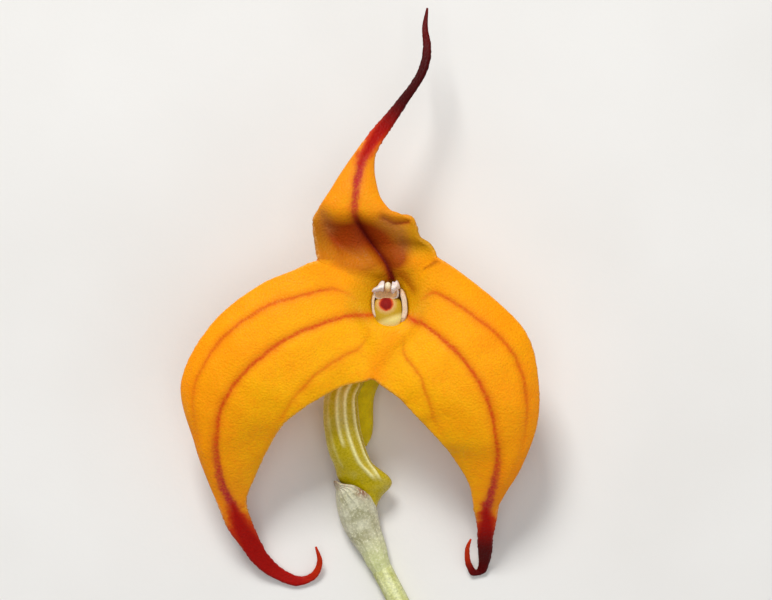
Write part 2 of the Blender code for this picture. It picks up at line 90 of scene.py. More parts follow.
# Blade sections: inner or left margin, midrib, outer or right margin
LEFT_BLADE = [
    (SINUS_LATERAL, (-5.8, -1.5, 0.6), SINUS_LEFT),
    ((-5.9, -10.5, 0.0), (-9.3, -2.6, 1.1), (-12.6, 4.5, 0.2)),
    ((-9.6, -12.4, -0.4), (-13.5, -4.5, 1.3), (-17.1, 2.5, -0.5)),
    ((-12.3, -14.2, -0.9), (-18.0, -7.9, 0.8), (-23.2, -2.5, -1.3)),
    ((-13.9, -15.6, -1.8), (-21.5, -12.4, -0.6), (-27.2, -10.0, -2.8)),
    ((-15.4, -17.8, -3.6), (-22.6, -18.1, -3.0), (-25.35, -18.3, -4.6)),
    ((-17.75, -22.5, -6.4), (-21.9, -23.5, -5.8), (-23.5, -23.9, -6.6)),
]
RIGHT_BLADE = [
    (SINUS_LATERAL, (5.1, -3.0, 0.6), SINUS_RIGHT),
    ((1.0, -12.0, -0.1), (6.8, -4.4, 1.1), (10.3, 3.4, 0.3)),
    ((1.9, -12.9, -0.6), (8.8, -6.3, 1.3), (15.1, -0.6, -0.4)),
    ((3.4, -14.5, -1.0), (11.2, -9.5, 1.0), (18.3, -4.9, -1.2)),
    ((4.5, -15.6, -1.7), (12.9, -13.0, 0.2), (19.4, -11.1, -2.2)),
    ((6.7, -18.0, -2.6), (13.7, -16.7, -1.2), (19.1, -15.9, -3.2)),
    ((8.1, -19.7, -4.2), (14.0, -20.6, -3.4), (17.2, -21.1, -4.6)),
    ((10.6, -24.1, -6.2), (13.3, -24.7, -5.8), (15.0, -25.1, -6.4)),
]
DORSAL_BLADE = [
    (SINUS_LEFT, (-0.9, 5.6, 0.2), SINUS_RIGHT),
    ((-9.85, 8.4, 0.6), (-2.3, 7.7, -0.1), (5.35, 7.75, 1.45)),
    ((-10.05, 10.4, 1.0), (-3.4, 9.6, 0.9), (3.95, 8.8, 1.75)),
    ((-9.8, 11.7, 1.5), (-4.1, 10.8, 2.05), (3.5, 10.3, 2.1)),
    ((-9.3, 12.5, 1.9), (-4.3, 11.3, 2.5), (3.25, 10.85, 2.45)),
    ((-8.95, 13.0, 1.95), (-4.4, 11.75, 2.8), (2.9, 11.35, 2.7)),
    ((-8.6, 13.45, 2.0), (-4.5, 12.45, 3.03), (1.6, 11.58, 2.8)),
    ((-8.3, 13.9, 1.95), (-4.5, 13.2, 3.1), (0.35, 11.95, 2.75)),
    ((-7.9, 14.45, 1.9), (-4.45, 14.1, 3.1), (-0.75, 13.0, 2.55)),
    ((-6.7, 16.4, 1.6), (-4.15, 16.5, 2.5), (-1.9, 16.0, 1.7)),
    ((-5.3, 18.5, 1.0), (-3.6, 18.6, 1.7), (-2.1, 18.3, 1.0)),
]

# Lines in plan: the dorsal hood's groove, its folds with stain and painted shade, its curled and lapped
# shoulder with painted shade, the seam below the throat, and the painted sheen on the hood's two sides
GROOVE_LINE = [(-4.45, 12.2), (-4.15, 11.0), (-3.1, 9.2), (-1.6, 7.0), (-0.45, 5.45), (0.4, 3.6)]
LEFT_FOLD = [(-9.1, 12.3), (-8.3, 11.2), (-7.5, 9.2), (-6.7, 7.9), (-5.8, 7.0), (-3.7, 5.7)]
RIGHT_FOLD = [(1.9, 8.0), (1.7, 6.2), (1.3, 4.7), (2.3, 3.3), (2.9, 2.1)]
SHOULDER_CURL = [(-0.9, 11.4), (0.65, 10.75), (2.4, 10.9)]
SHOULDER_LAP = [(6.1, 5.75), (5.3, 5.1), (4.7, 4.8)]
SEAM_LINE = [(0.1, -4.2), (-1.2, -6.8), (-2.3, -9.5)]
LEFT_SHEEN = [(-8.7, 12.0), (-7.8, 10.2)]
RIGHT_SHEEN = [(-0.7, 11.0), (1.2, 9.8), (2.0, 7.6)]
# The hood's relief along its groove, folds and curl: depth and half width
GROOVE_RELIEF = (0.95, 0.95)
FOLD_RELIEF = (0.3, 0.8)
CURL_RELIEF = (0.4, 0.6)

# Tails: middle and half width
LEFT_TAIL = [
    (-20.8, -26.4, -7.6, 1.9), (-20.0, -29.0, -9.2, 1.7), (-18.7, -31.6, -11.0, 1.35),
    (-17.1, -34.2, -12.6, 1.12), (-14.9, -36.1, -13.8, 0.85), (-12.1, -37.1, -14.15, 0.62),
    (-10.3, -36.4, -13.9, 0.5), (-9.4, -34.5, -13.0, 0.38), (-9.9, -32.3, -11.9, 0.14),
]
RIGHT_TAIL = [
    (12.7, -26.9, -7.4, 1.66), (12.8, -28.8, -8.8, 1.32), (12.7, -30.9, -10.4, 1.05),
    (12.7, -33.0, -12.2, 0.95), (12.6, -34.6, -13.6, 0.72), (12.2, -35.75, -14.15, 0.55),
    (11.4, -36.0, -14.15, 0.46), (10.7, -35.1, -13.4, 0.42), (10.35, -33.7, -12.5, 0.36),
    (10.4, -32.3, -11.5, 0.28), (10.8, -31.2, -10.8, 0.12),
]
DORSAL_TAIL = [
    (-2.7, 20.4, 0.9, 1.15), (-1.6, 22.1, 0.2, 1.02), (0.0, 24.2, -0.8, 0.85),
    (1.4, 26.2, -1.7, 0.7), (2.9, 28.3, -2.6, 0.6), (4.1, 30.3, -3.4, 0.6),
    (4.7, 32.1, -4.0, 0.61), (4.87, 34.2, -4.5, 0.53), (4.6, 36.4, -5.0, 0.4),
    (4.92, 39.1, -5.4, 0.14),
]
# How late a section rolls back towards its margins
MARGIN_ROLL = 2.6
# The sepals' mesh: points across, and how much coarser it is down in the tube
POINTS_ACROSS = 49
HIDDEN_COARSENESS = 2.5
MARGIN_SEED = 7
BRACT_SEED = 3

# Side veins: share along the blade and where the vein runs, 0 at the midrib and 1 at the margin
VEIN_PLACES = {
    "left": (((0, 0.45), (0.1, 0.5), (0.2, 0.6), (0.3, 0.66), (0.45, 0.62), (1, 0.6)),
             ((0, -0.42), (0.1, -0.55), (0.2, -0.7), (0.3, -0.84), (0.42, -0.96), (1, -1.1))),
    "right": (((0, 0.45), (0.15, 0.56), (0.3, 0.68), (0.6, 0.68), (1, 0.6)),
              ((0, -0.42), (0.1, -0.53), (0.3, -0.8), (0.42, -0.9), (1, -1.1))),
    "dorsal": (((0, 3.0), (1, 3.0)), ((0, -3.0), (1, -3.0))),
}
# Where along a blade its tail begins, and how dark the tail gets, how far that fades to the tip, and
# how much the tip turns light again
TAIL_STARTS = {"left": 0.665, "right": 0.665, "dorsal": 0.49}
# The right tail's darkness round its bend is painted shade and the lateral tails' lighter tips are painted
# light; the dorsal tail's dark red is its own
TAIL_DARKNESS = {"left": (0.12, 1.0, 0.6), "right": (0.9, 0.95, 0.8), "dorsal": (1.0, 0.15, 0.0)}


def linear(code):
    """An sRGB hex colour as linear red, green and blue."""
    parts = [int(code[i:i + 2], 16) / 255 for i in (1, 3, 5)]
    return tuple(c / 12.92 if c <= 0.04045 else ((c + 0.055) / 1.055) ** 2.4 for c in parts)


def colour_setting(name, description, code):
    """A colour that a user can change."""
    return FloatVectorProperty(name=name, description=description, subtype="COLOR", size=3,
                               min=0.0, max=1.0, default=linear(code))


def length_setting(name, description, millimetres):
    """A length that a user can change."""
    return FloatProperty(name=name, description=description, unit="LENGTH", subtype="DISTANCE",
                         min=0.0, default=millimetres * MM, precision=5)


class OrchidSizes(bpy.types.PropertyGroup):
    """Sizes of the flower's finish."""
    sepal_wall: length_setting("Sepal wall", "Thickness of the fleshy sepals", 0.75)
    margin_radius: length_setting("Margin radius", "How far in a sepal's edge is rounded", 0.4)
    mesh_step: length_setting("Mesh step", "Spacing of the sepal mesh", 0.32)
    groove_depth: length_setting("Groove depth", "How deep a main vein lies in the blade", 0.16)
    margin_grain: length_setting("Margin grain", "How far the papillae stand out along a margin", 0.07)
    papilla: length_setting("Papilla", "Spacing of the grains on the sepals", 0.27)
    vein_width: length_setting("Vein width", "Half width of a main vein's colour", 0.3)


class OrchidColours(bpy.types.PropertyGroup):
    """Colours of the flower."""
    gold: colour_setting("Gold", "Sepals towards the midline below the throat", "#f9ae02")
    orange: colour_setting("Orange", "Sepals towards their outer margins", "#fb9602")
    # Olive round the throat, also spread as painted shade under the dorsal's crest
    collar: colour_setting("Collar", "Olive yellow round the throat", "#c78f05")
    # Brown of the hood: partly the flesh's own stain, partly painted shade in the hood's hollows and under
    # the lapped shoulder
    shade_and_stain: colour_setting("Hollow", "Brown shade in the dorsal hood", "#932f00")
    # Red of the dorsal groove: partly vein colour, partly painted shade deep in the groove
    groove: colour_setting("Groove", "Deepest red in the dorsal groove", "#621004")
    # Painted sheen: papillae on the shoulders drawn pale purplish, as if catching the light
    painted_sheen: colour_setting("Fuzz", "Pale purplish papillae on the shoulders", "#ac6830")
    # Painted highlight of lit papillae along the margins
    rim_highlight: colour_setting("Frost", "Lit papillae along the margins", "#ffcf85")
    vein: colour_setting("Vein", "Veins on the orange", "#cc400a")
    deep_vein: colour_setting("Deep vein", "Veins where the tails begin", "#a81c2c")
    tail: colour_setting("Tail", "Red where the tails begin", "#cc380c")
    tail_dark: colour_setting("Tail dark", "Red of the tails", "#a60a02")
    tail_end: colour_setting("Tail end", "Darkest red of the dorsal tail", "#3e0000")
    tube: colour_setting("Tube", "Yellow-green of the tube", "#e0cc08")
    ovary: colour_setting("Ovary", "Yellow-green of the ovary", "#bda700")
    # Pale rib crests: partly their own colour, partly a painted gloss highlight
    rib_and_highlight: colour_setting("Rib", "Light ribs of the ovary", "#f2eaa0")
    petal: colour_setting("Petal", "Petals", "#c9a06a")
    petal_rim: colour_setting("Petal rim", "Pale rims of the petals", "#dfc09f")
    wing: colour_setting("Wing", "White wings of the column", "#f3e3d8")
    column: colour_setting("Column", "Column flesh", "#e0ae74")
    anther: colour_setting("Anther", "Cap of the column", "#ead9b4")
    lip: colour_setting("Lip", "Lip flesh", "#c0961a")
    # Painted highlight on the lip's bend
    lip_highlight: colour_setting("Lip light", "Bright bend of the lip", "#f2d884")
    lip_dark: colour_setting("Lip dark", "Dark red apex of the lip", "#8a120c")
    bract: colour_setting("Bract", "Dry papery bract", "#b0ac84")
    bract_light: colour_setting("Bract light", "Silvery skin of the bract", "#dad7b8")
    bract_nerve: colour_setting("Bract nerve", "Nerves of the bract", "#8b8a5c")
    bract_foot: colour_setting("Bract foot", "Green foot of the bract", "#d0d494")
    torn: colour_setting("Torn edge", "Brown torn edge of the bract", "#93553a")
    stem: colour_setting("Stem", "Pale stem", "#b0b35c")
    # Pale skin of the stem, also laid as a painted highlight along its top
    stem_pale_and_highlight: colour_setting("Stem light", "Lightest skin of the stem", "#e6e8b4")
    floor: colour_setting("Floor", "Studio floor", "#e6e4df")
    floor_shade: colour_setting("Floor shade", "Faint shade in the floor", "#dddad4")


def tangents(places, rows):
    """Slope of a smooth line through rows that stand at uneven places."""
    slopes = np.zeros_like(rows)
    steps = np.diff(places)
    chords = np.diff(rows, axis=0) / steps.reshape((-1,) + (1,) * (rows.ndim - 1))
    slopes[0] = chords[0]
    slopes[-1] = chords[-1]
    for i in range(1, len(rows) - 1):
        before, after = steps[i - 1], steps[i]
        slopes[i] = (chords[i] * before + chords[i - 1] * after) / (before + after)
    return slopes


def hermite(places, rows, arriving, leaving, at):
    """Value at one place of the smooth line through the rows."""
    i = int(np.clip(np.searchsorted(places, at, side="right") - 1, 0, len(rows) - 2))
    span = places[i + 1] - places[i]
    u = (at - places[i]) / span
    return ((2 * u ** 3 - 3 * u ** 2 + 1) * rows[i] + (u ** 3 - 2 * u ** 2 + u) * span * leaving[i]
            + (3 * u ** 2 - 2 * u ** 3) * rows[i + 1] + (u ** 3 - u ** 2) * span * arriving[i + 1])


def divide(places, step):
    """Places with each span split into equal steps no longer than the one given."""
    out = [places[0]]
    for a, b in zip(places[:-1], places[1:]):
        count = max(1, math.ceil((b - a) / step))
        out.extend(a + (b - a) * (k + 1) / count for k in range(count))
    return out


def run_along(line):
    """How far along a line each of its points stands."""
    return np.concatenate([[0.0], np.cumsum(np.linalg.norm(np.diff(line[:, :3], axis=0), axis=1))])


def smooth_line(points, step):
    """A finer smooth line through points that carry any number of values."""
    rows = np.array(points, dtype=float)
    places = run_along(rows)
    slopes = tangents(places, rows)
    return np.array([hermite(places, rows, slopes, slopes, at) for at in divide(places, step)])


def directions(line):
    """Unit direction at each point of a line."""
    ways = np.gradient(line[:, :3], axis=0)
    return ways / np.linalg.norm(ways, axis=1)[:, None]


def smooth_step(low, high, value):
    """0 below low, 1 above high, and an even rise between."""
    u = np.clip((value - low) / (high - low), 0, 1)
    return u * u * (3 - 2 * u)


def bell(value, width):
    """1 at zero, falling off over a width."""
    return np.exp(-(value / width) ** 2)


def close_points(points):
    """One number for each different place, and the first point at each."""
    keys = np.round(points * 2000).astype(np.int64)
    _, first, number = np.unique(keys, axis=0, return_index=True, return_inverse=True)
    return number.reshape(-1), first


def finish_mesh(name, points, faces, values, largest_hole=6):
    """A smooth mesh in the frame's metres, with small holes filled and the values as attributes."""
    mesh = bpy.data.meshes.new(name)
    mesh.from_pydata([tuple(p) for p in (points + THROAT) * MM], [], faces)
    for key, value in values.items():
        layer = mesh.attributes.new(key, "FLOAT", "POINT")
        layer.data.foreach_set("value", np.array(value).reshape(-1).astype(np.float32))
    shape = bmesh.new()
    shape.from_mesh(mesh)
    rims = [edge for edge in shape.edges if edge.is_boundary]
    if rims:
        bmesh.ops.holes_fill(shape, edges=rims, sides=largest_hole)
    bmesh.ops.recalc_face_normals(shape, faces=shape.faces)
    shape.to_mesh(mesh)
    shape.free()
    mesh.shade_smooth()
    return mesh


def shell_mesh(name, grids):
    """A closed thick sheet round grids of points, which meet where their points do.

    Each grid is (points, half thickness, values), and its values become attributes.
    """
    points = np.concatenate([g[0].reshape(-1, 3) for g in grids])
    half = np.concatenate([g[1].reshape(-1) for g in grids])
    quads = []
    start = 0
    for g in grids:
        rows, across = g[1].shape
        index = start + np.arange(rows * across).reshape(rows, across)
        quads.append(np.stack([index[:-1, :-1], index[:-1, 1:], index[1:, 1:], index[1:, :-1]],
                              axis=-1).reshape(-1, 4))
        start += rows * across
    quads = np.concatenate(quads)
    number, first = close_points(points)
    corners = points[quads]
    facing = np.cross(corners[:, 2] - corners[:, 0], corners[:, 3] - corners[:, 1])
    normals = np.zeros((len(first), 3))
    for k in range(4):
        np.add.at(normals, number[quads[:, k]], facing)
    normals /= np.maximum(np.linalg.norm(normals, axis=1), 1e-12)[:, None]
    normals = normals[number]
    both = np.concatenate([points + normals * half[:, None], points - normals * half[:, None]])
    number, first = close_points(both)
    faces = []
    count = len(points)
    for quad in quads:
        for face in (number[quad], number[quad[::-1] + count]):
            kept = []
            for corner in face:
                if int(corner) not in kept:
                    kept.append(int(corner))
            if len(kept) > 2:
                faces.append(kept)
    values = {key: np.concatenate([g[2][key].reshape(-1) for g in grids] * 2) for key in grids[0][2]}
    values["side"] = np.concatenate([np.ones(count), -np.ones(count)])
    return finish_mesh(name, both[first], faces, {key: value[first] for key, value in values.items()})


def loft_mesh(name, rings, values):
    """A closed body through rings, whose first and last ring are closed by a fan."""
    rings = np.array(rings)
    count = rings.shape[1]
    points = rings.reshape(-1, 3)
    faces = []
    for i in range(len(rings) - 1):
        for k in range(count):
            a, b = i * count + k, i * count + (k + 1) % count
            faces.append((a, b, b + count, a + count))
    faces.append(tuple(range(count))[::-1])
    faces.append(tuple(range(len(points) - count, len(points))))
    return finish_mesh(name, points, faces, values)


def place(name, mesh, material, node):
    """Puts a finished piece in the scene, in the place of a node of the model if one is named."""
    made = bpy.data.objects.new(name, mesh)
    bpy.context.scene.collection.objects.link(made)
    made.data.materials.append(material)
    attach(made, "root")
    if node:
        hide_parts(node)


def add(tree, kind, *values, out=0, **settings):
    """Adds a shader node with its settings. Values fill its sockets in order: a link, number or colour."""
    made = tree.nodes.new("ShaderNode" + kind)
    for key, value in settings.items():
        setattr(made, key, value)
    for socket, value in zip([s for s in made.inputs if s.enabled], values):
        if isinstance(value, bpy.types.NodeSocket):
            tree.links.new(value, socket)
        elif value is not None:
            socket.default_value = (*value, 1.0) if socket.type == "RGBA" else value
    return [s for s in made.outputs if s.enabled][out]


def start_material(name):
    """A material with only its shader and output, and the object's own coordinates in millimetres."""
    material = bpy.data.materials.new(name)
    material.use_nodes = True
    tree = material.node_tree
    tree.nodes.clear()
    output = tree.nodes.new("ShaderNodeOutputMaterial")
    shader = tree.nodes.new("ShaderNodeBsdfPrincipled")
    tree.links.new(shader.outputs["BSDF"], output.inputs["Surface"])
    where = add(tree, "VectorMath", add(tree, "TexCoord", out=3), (1 / MM,) * 3, operation="MULTIPLY")
    return material, tree, shader, where


def set_shader(tree, shader, colour, roughness, height, depth, **values):
    """Links the colour, roughness and relief in millimetres, and sets the shader's other sockets."""
    tree.links.new(colour, shader.inputs["Base Color"])
    tree.links.new(roughness, shader.inputs["Roughness"])
    normal = add(tree, "Bump", 1.0, depth * MM, None, height)
    tree.links.new(normal, shader.inputs["Normal"])
    for key, value in values.items():
        shader.inputs[key.replace("_", " ")].default_value = value


def speckled(tree, base, grain, darkest, lightest):
    """A colour that a grain darkens and lightens."""
    speck = add(tree, "MapRange", grain, 0.25, 0.75, darkest, lightest)
    return add(tree, "VectorMath", base, add(tree, "CombineXYZ", speck, speck, speck), operation="MULTIPLY")


def sepal_material(sizes, colours):
    """Living sepal flesh covered in fine papillae: a soft glow under a grain of tiny highlights."""
    material, tree, shader, where = start_material("papillose_sepal_flesh")
    value = {name: add(tree, "Attribute", out=2, attribute_name=name)
             for name in ("along", "across", "tail", "mid", "outer", "inner", "warm", "collar", "shade_and_stain",
                          "groove_red_and_shade", "painted_sheen", "tube", "dusk", "deep", "rim_highlight", "side")}
    grain = add(tree, "TexNoise", where, 1 / 0.3, 3.0, 0.6)
    patchy = add(tree, "TexNoise", where, 1 / 1.4, 4.0, 0.6)
    cloud = add(tree, "TexNoise", where, 1 / 5.0, 3.0)
    papillae = add(tree, "TexVoronoi", where, MM / sizes.papilla)

    warm = add(tree, "Math", value["warm"], add(tree, "MapRange", cloud, 0.3, 0.7, -0.25, 0.25),
               operation="ADD", use_clamp=True)
    base = add(tree, "Mix", warm, colours.gold, colours.orange, data_type="RGBA")
    facing = add(tree, "MapRange", value["side"], -0.5, 0.5, 0.15, 1.0)
    for share, colour in (
            (add(tree, "MapRange", patchy, 0.45, 0.75, 0.0, 0.35), colours.orange),
            # olive round the throat, and painted shade under the dorsal's crest
            (value["collar"], colours.collar),
            # brown stain with painted shade over the hood and under the lapped shoulder
            (add(tree, "Math", value["shade_and_stain"], facing, operation="MULTIPLY"), colours.shade_and_stain)):
        base = add(tree, "Mix", share, base, colour, data_type="RGBA")

    # A vein is a soft stain under the skin, with a darker broken line of coloured papillae on it
    wander = add(tree, "MapRange", patchy, 0.3, 0.7, -0.14, 0.14)
    broken = add(tree, "MapRange", grain, 0.35, 0.6, 0.55, 1.0)
    ink = add(tree, "Mix", add(tree, "MapRange", value["tail"], -0.45, 0.1), colours.vein, colours.deep_vein,
              data_type="RGBA")
    widening = add(tree, "MapRange", value["tail"], -0.9, -0.1, 1.0, 0.5)
    for name, width, strength, first, last in (("mid", 1.0, 1.0, -0.2, 1.1), ("outer", 0.9, 0.72, 0.1, 0.5),
                                               ("inner", 0.8, 0.5, 0.1, 0.42)):
        distance = add(tree, "Math", add(tree, "Math", value[name], wander, operation="ADD"),
                       operation="ABSOLUTE")
        distance = add(tree, "Math", distance, widening, operation="MULTIPLY")
        until = add(tree, "MapRange", value["along"], last, last - 0.2, 0.0, strength)
        until = add(tree, "Math", until, add(tree, "MapRange", value["along"], first - 0.1, first),
                    operation="MULTIPLY")
        for reach, share in ((4.2, 0.55), (1.7, 0.85)):
            line = add(tree, "MapRange", distance, sizes.vein_width / MM * width * reach, 0.0,
                       interpolation_type="SMOOTHSTEP")
            line = add(tree, "Math", line, add(tree, "Math", until, share, operation="MULTIPLY"),
                       operation="MULTIPLY")
            line = add(tree, "Math", line, broken, operation="MULTIPLY")
            base = add(tree, "Mix", line, base, ink, data_type="RGBA")

    # Towards the tail the middle vein widens into a purple-red stripe
    stripe = add(tree, "Math", add(tree, "Math", value["mid"], wander, operation="ADD"), operation="ABSOLUTE")
    stripe = add(tree, "MapRange", stripe, 0.75, 0.3, interpolation_type="SMOOTHSTEP")
    stripe = add(tree, "Math", stripe, add(tree, "MapRange", value["tail"], -0.6, -0.1, 0.0, 0.9),
                 operation="MULTIPLY")
    stripe = add(tree, "Math", stripe, broken, operation="MULTIPLY")
    base = add(tree, "Mix", stripe, base, colours.deep_vein, data_type="RGBA")

    # Painted highlight: papillae that stand out past the margins drawn pale, as if they caught the light
    rim_highlight = add(tree, "Math", value["rim_highlight"], add(tree, "MapRange", grain, 0.4, 0.65, 0.0, 0.4),
                operation="MULTIPLY")
    base = add(tree, "Mix", rim_highlight, base, colours.rim_highlight, data_type="RGBA")

    # The tails turn red from the midrib outwards
    centre = add(tree, "MapRange", value["across"], 0.0, 1.0, 0.16, 0.0)
    ragged = add(tree, "MapRange", patchy, 0.3, 0.7, -0.06, 0.06)
    redness = add(tree, "Math", value["tail"], add(tree, "Math", centre, ragged, operation="ADD"),
                  operation="ADD")
    dusk = add(tree, "Math", value["dusk"], ragged, operation="ADD", use_clamp=True)
    red = add(tree, "Mix", dusk, colours.tail, colours.tail_dark, data_type="RGBA")
    # deeper red: the dorsal tail's own colour, and painted shade round the right tail's bend
    red = add(tree, "Mix", value["deep"], red, colours.tail_end, data_type="RGBA")
    tube = add(tree, "Mix", add(tree, "MapRange", patchy, 0.35, 0.65, 0.0, 0.6), colours.tube, colours.ovary,
               data_type="RGBA")
    for share, colour in (
            (add(tree, "MapRange", redness, -0.04, 0.14, interpolation_type="SMOOTHSTEP"), red),
            # vein red with painted shade down the hood's groove
            (add(tree, "Math", value["groove_red_and_shade"], facing, operation="MULTIPLY"), colours.groove),
            # painted sheen of lit papillae on the shoulders
            (add(tree, "Math", value["painted_sheen"], broken, operation="MULTIPLY"), colours.painted_sheen),
            (value["tube"], tube)):
        base = add(tree, "Mix", share, base, colour, data_type="RGBA")
    base = speckled(tree, base, grain, 0.9, 1.08)

    height = add(tree, "Math", add(tree, "Math", patchy, 0.9, operation="MULTIPLY"), papillae,
                 operation="SUBTRACT")
    roughness = add(tree, "MapRange", grain, 0.3, 0.7, 0.35, 0.7)
    set_shader(tree, shader, base, roughness, height, 0.055, Subsurface_Weight=0.12,
               Subsurface_Radius=(1.0, 0.35, 0.08), Subsurface_Scale=0.0006,
               Specular_IOR_Level=0.14, IOR=1.42)
    return material


def flesh_material(name, under, over, mask, grain, depth, roughness, glow, speckle=0.15):
    """Smooth living flesh: two colours mixed by a value of the mesh, under a fine grain and a soft gloss."""
    material, tree, shader, where = start_material(name)
    cloud = add(tree, "TexNoise", where, 1 / 2.5, 4.0, 0.6)
    fine = add(tree, "TexNoise", where, 1 / grain, 3.0, 0.6)
    cell = add(tree, "TexVoronoi", where, 1 / grain)
    share = add(tree, "Math", add(tree, "Attribute", out=2, attribute_name=mask),
                add(tree, "MapRange", cloud, 0.3, 0.7, -speckle, speckle), operation="ADD", use_clamp=True)
    base = add(tree, "Mix", share, under, over, data_type="RGBA")
    base = speckled(tree, base, fine, 1 - speckle, 1 + speckle)
    height = add(tree, "Math", fine, cell, operation="SUBTRACT")
    rough = add(tree, "MapRange", fine, 0.3, 0.7, roughness - 0.1, roughness + 0.14)
    set_shader(tree, shader, base, rough, height, depth, Subsurface_Weight=glow,
               Subsurface_Radius=(0.9, 0.8, 0.4), Subsurface_Scale=0.0006, Specular_IOR_Level=0.5, IOR=1.42)
    return material


def lip_material(colours):
    """Thin wet flesh: olive and translucent, with a painted highlight where it bends over and a dark red apex
    in an orange ring.
    """
    material, tree, shader, where = start_material("glossy_lip_flesh")
    ragged = add(tree, "MapRange", add(tree, "TexNoise", where, 1 / 0.4, 3.0), 0.3, 0.7, -0.07, 0.07)
    apex = add(tree, "Math", add(tree, "Attribute", out=2, attribute_name="apex"), ragged, operation="ADD")
    bend_highlight = add(tree, "Attribute", out=2, attribute_name="bend_highlight")
    base = add(tree, "Mix", bend_highlight, colours.lip, colours.lip_highlight, data_type="RGBA")
    for outside, inside, most, colour in ((1.5, 0.95, 0.7, colours.column), (1.0, 0.72, 1.0, colours.vein),
                                          (0.74, 0.55, 1.0, colours.lip_dark)):
        share = add(tree, "MapRange", apex, outside, inside, 0.0, most)
        base = add(tree, "Mix", share, base, colour, data_type="RGBA")
    rough = add(tree, "Math", add(tree, "MapRange", ragged, -0.07, 0.07, 0.38, 0.5),
                add(tree, "MapRange", apex, 0.8, 0.5, 0.0, 0.35), operation="ADD")
    set_shader(tree, shader, base, rough, add(tree, "TexVoronoi", where, 1 / 0.2), 0.03,
               Subsurface_Weight=0.25, Subsurface_Radius=(0.9, 0.7, 0.25), Subsurface_Scale=0.0006,
               Specular_IOR_Level=0.3, IOR=1.4)
    return material


def bract_material(colours):
    """A dry papery bract: silvery skin with fine nerves, green at its foot and brown at its torn edge."""
    material, tree, shader, where = start_material("dry_papery_bract")
    nerve = add(tree, "Attribute", out=2, attribute_name="nerve")
    mouth = add(tree, "Attribute", out=2, attribute_name="mouth")
    fine = add(tree, "TexNoise", where, 1 / 0.35, 4.0, 0.7)
    cloud = add(tree, "TexNoise", where, 1 / 1.6, 4.0, 0.6)
    base = add(tree, "Mix", add(tree, "MapRange", cloud, 0.35, 0.65), colours.bract, colours.bract_light,
               data_type="RGBA")
    torn = add(tree, "Math", add(tree, "MapRange", mouth, 0.86, 1.0), add(tree, "MapRange", fine, 0.45, 0.6),
               operation="MULTIPLY")
    scar = add(tree, "Math", add(tree, "Attribute", out=2, attribute_name="scar"),
               add(tree, "MapRange", fine, 0.6, 0.5, 0.2, 1.0), operation="MULTIPLY")
    for share, colour in (
            (add(tree, "MapRange", nerve, 0.0, 1.0, 0.0, 0.15), colours.bract_nerve),
            (add(tree, "MapRange", mouth, 0.4, 0.16), colours.bract_foot),
            # pale flecks: pale granules of the skin, partly painted glints
            (add(tree, "MapRange", fine, 0.54, 0.63, 0.0, 0.8), colours.bract_light),
            (torn, colours.torn), (scar, colours.torn)):
        base = add(tree, "Mix", share, base, colour, data_type="RGBA")
    base = speckled(tree, base, fine, 0.78, 1.2)
    height = add(tree, "Math", add(tree, "Math", nerve, 0.6, operation="MULTIPLY"), fine, operation="ADD")
    rough = add(tree, "MapRange", fine, 0.3, 0.7, 0.4, 0.7)
    set_shader(tree, shader, base, rough, height, 0.09, Subsurface_Weight=0.1,
               Subsurface_Radius=(0.8, 0.8, 0.6), Subsurface_Scale=0.0005, Specular_IOR_Level=0.4,
               Sheen_Weight=0.15, Sheen_Roughness=0.4)
    return material


def floor_material(colours):
    """Matt painted board, which stays quiet under the flower."""
    material, tree, shader, where = start_material("matt_studio_board")
    cloud = add(tree, "TexNoise", where, 1 / 30.0, 3.0)
    base = add(tree, "Mix", add(tree, "MapRange", cloud, 0.3, 0.7, 0.0, 0.5), colours.floor,
               colours.floor_shade, data_type="RGBA")
    rough = add(tree, "MapRange", cloud, 0.3, 0.7, 0.75, 0.85)
    set_shader(tree, shader, base, rough, add(tree, "TexNoise", where, 1 / 0.6, 2.0), 0.01)
    return material


def ring(centre, side, up, half_wide, half_deep, angles, swell=1.0):
    """Points round a centre, at the given angles."""
    return (centre + (np.cos(angles) * swell * half_wide)[:, None] * side
            + (np.sin(angles) * swell * half_deep)[:, None] * up)


def across_blade(low, middle, high, shares):
    """A blade's section: a curve through three points whose ends roll back."""
    low, middle, high = (np.array(p, dtype=float) for p in (low, middle, high))
    s = shares[:, None]
    points = low * s * (s - 1) / 2 + middle * (1 - s * s) + high * s * (s + 1) / 2
    ends = np.where(shares < 0, low[2], high[2])
    points[:, 2] = middle[2] + (ends - middle[2]) * np.abs(shares) ** MARGIN_ROLL
    return points


def tail_row(point, way, shares, hand):
    """A straight row across a tail. The hand says to which side its shares rise."""
    flat = np.array([way[0], way[1], 0.0])
    flat /= np.linalg.norm(flat)
    side = np.array([flat[1], -flat[0], 0.0]) * hand
    return point[:3] + shares[:, None] * point[3] * side


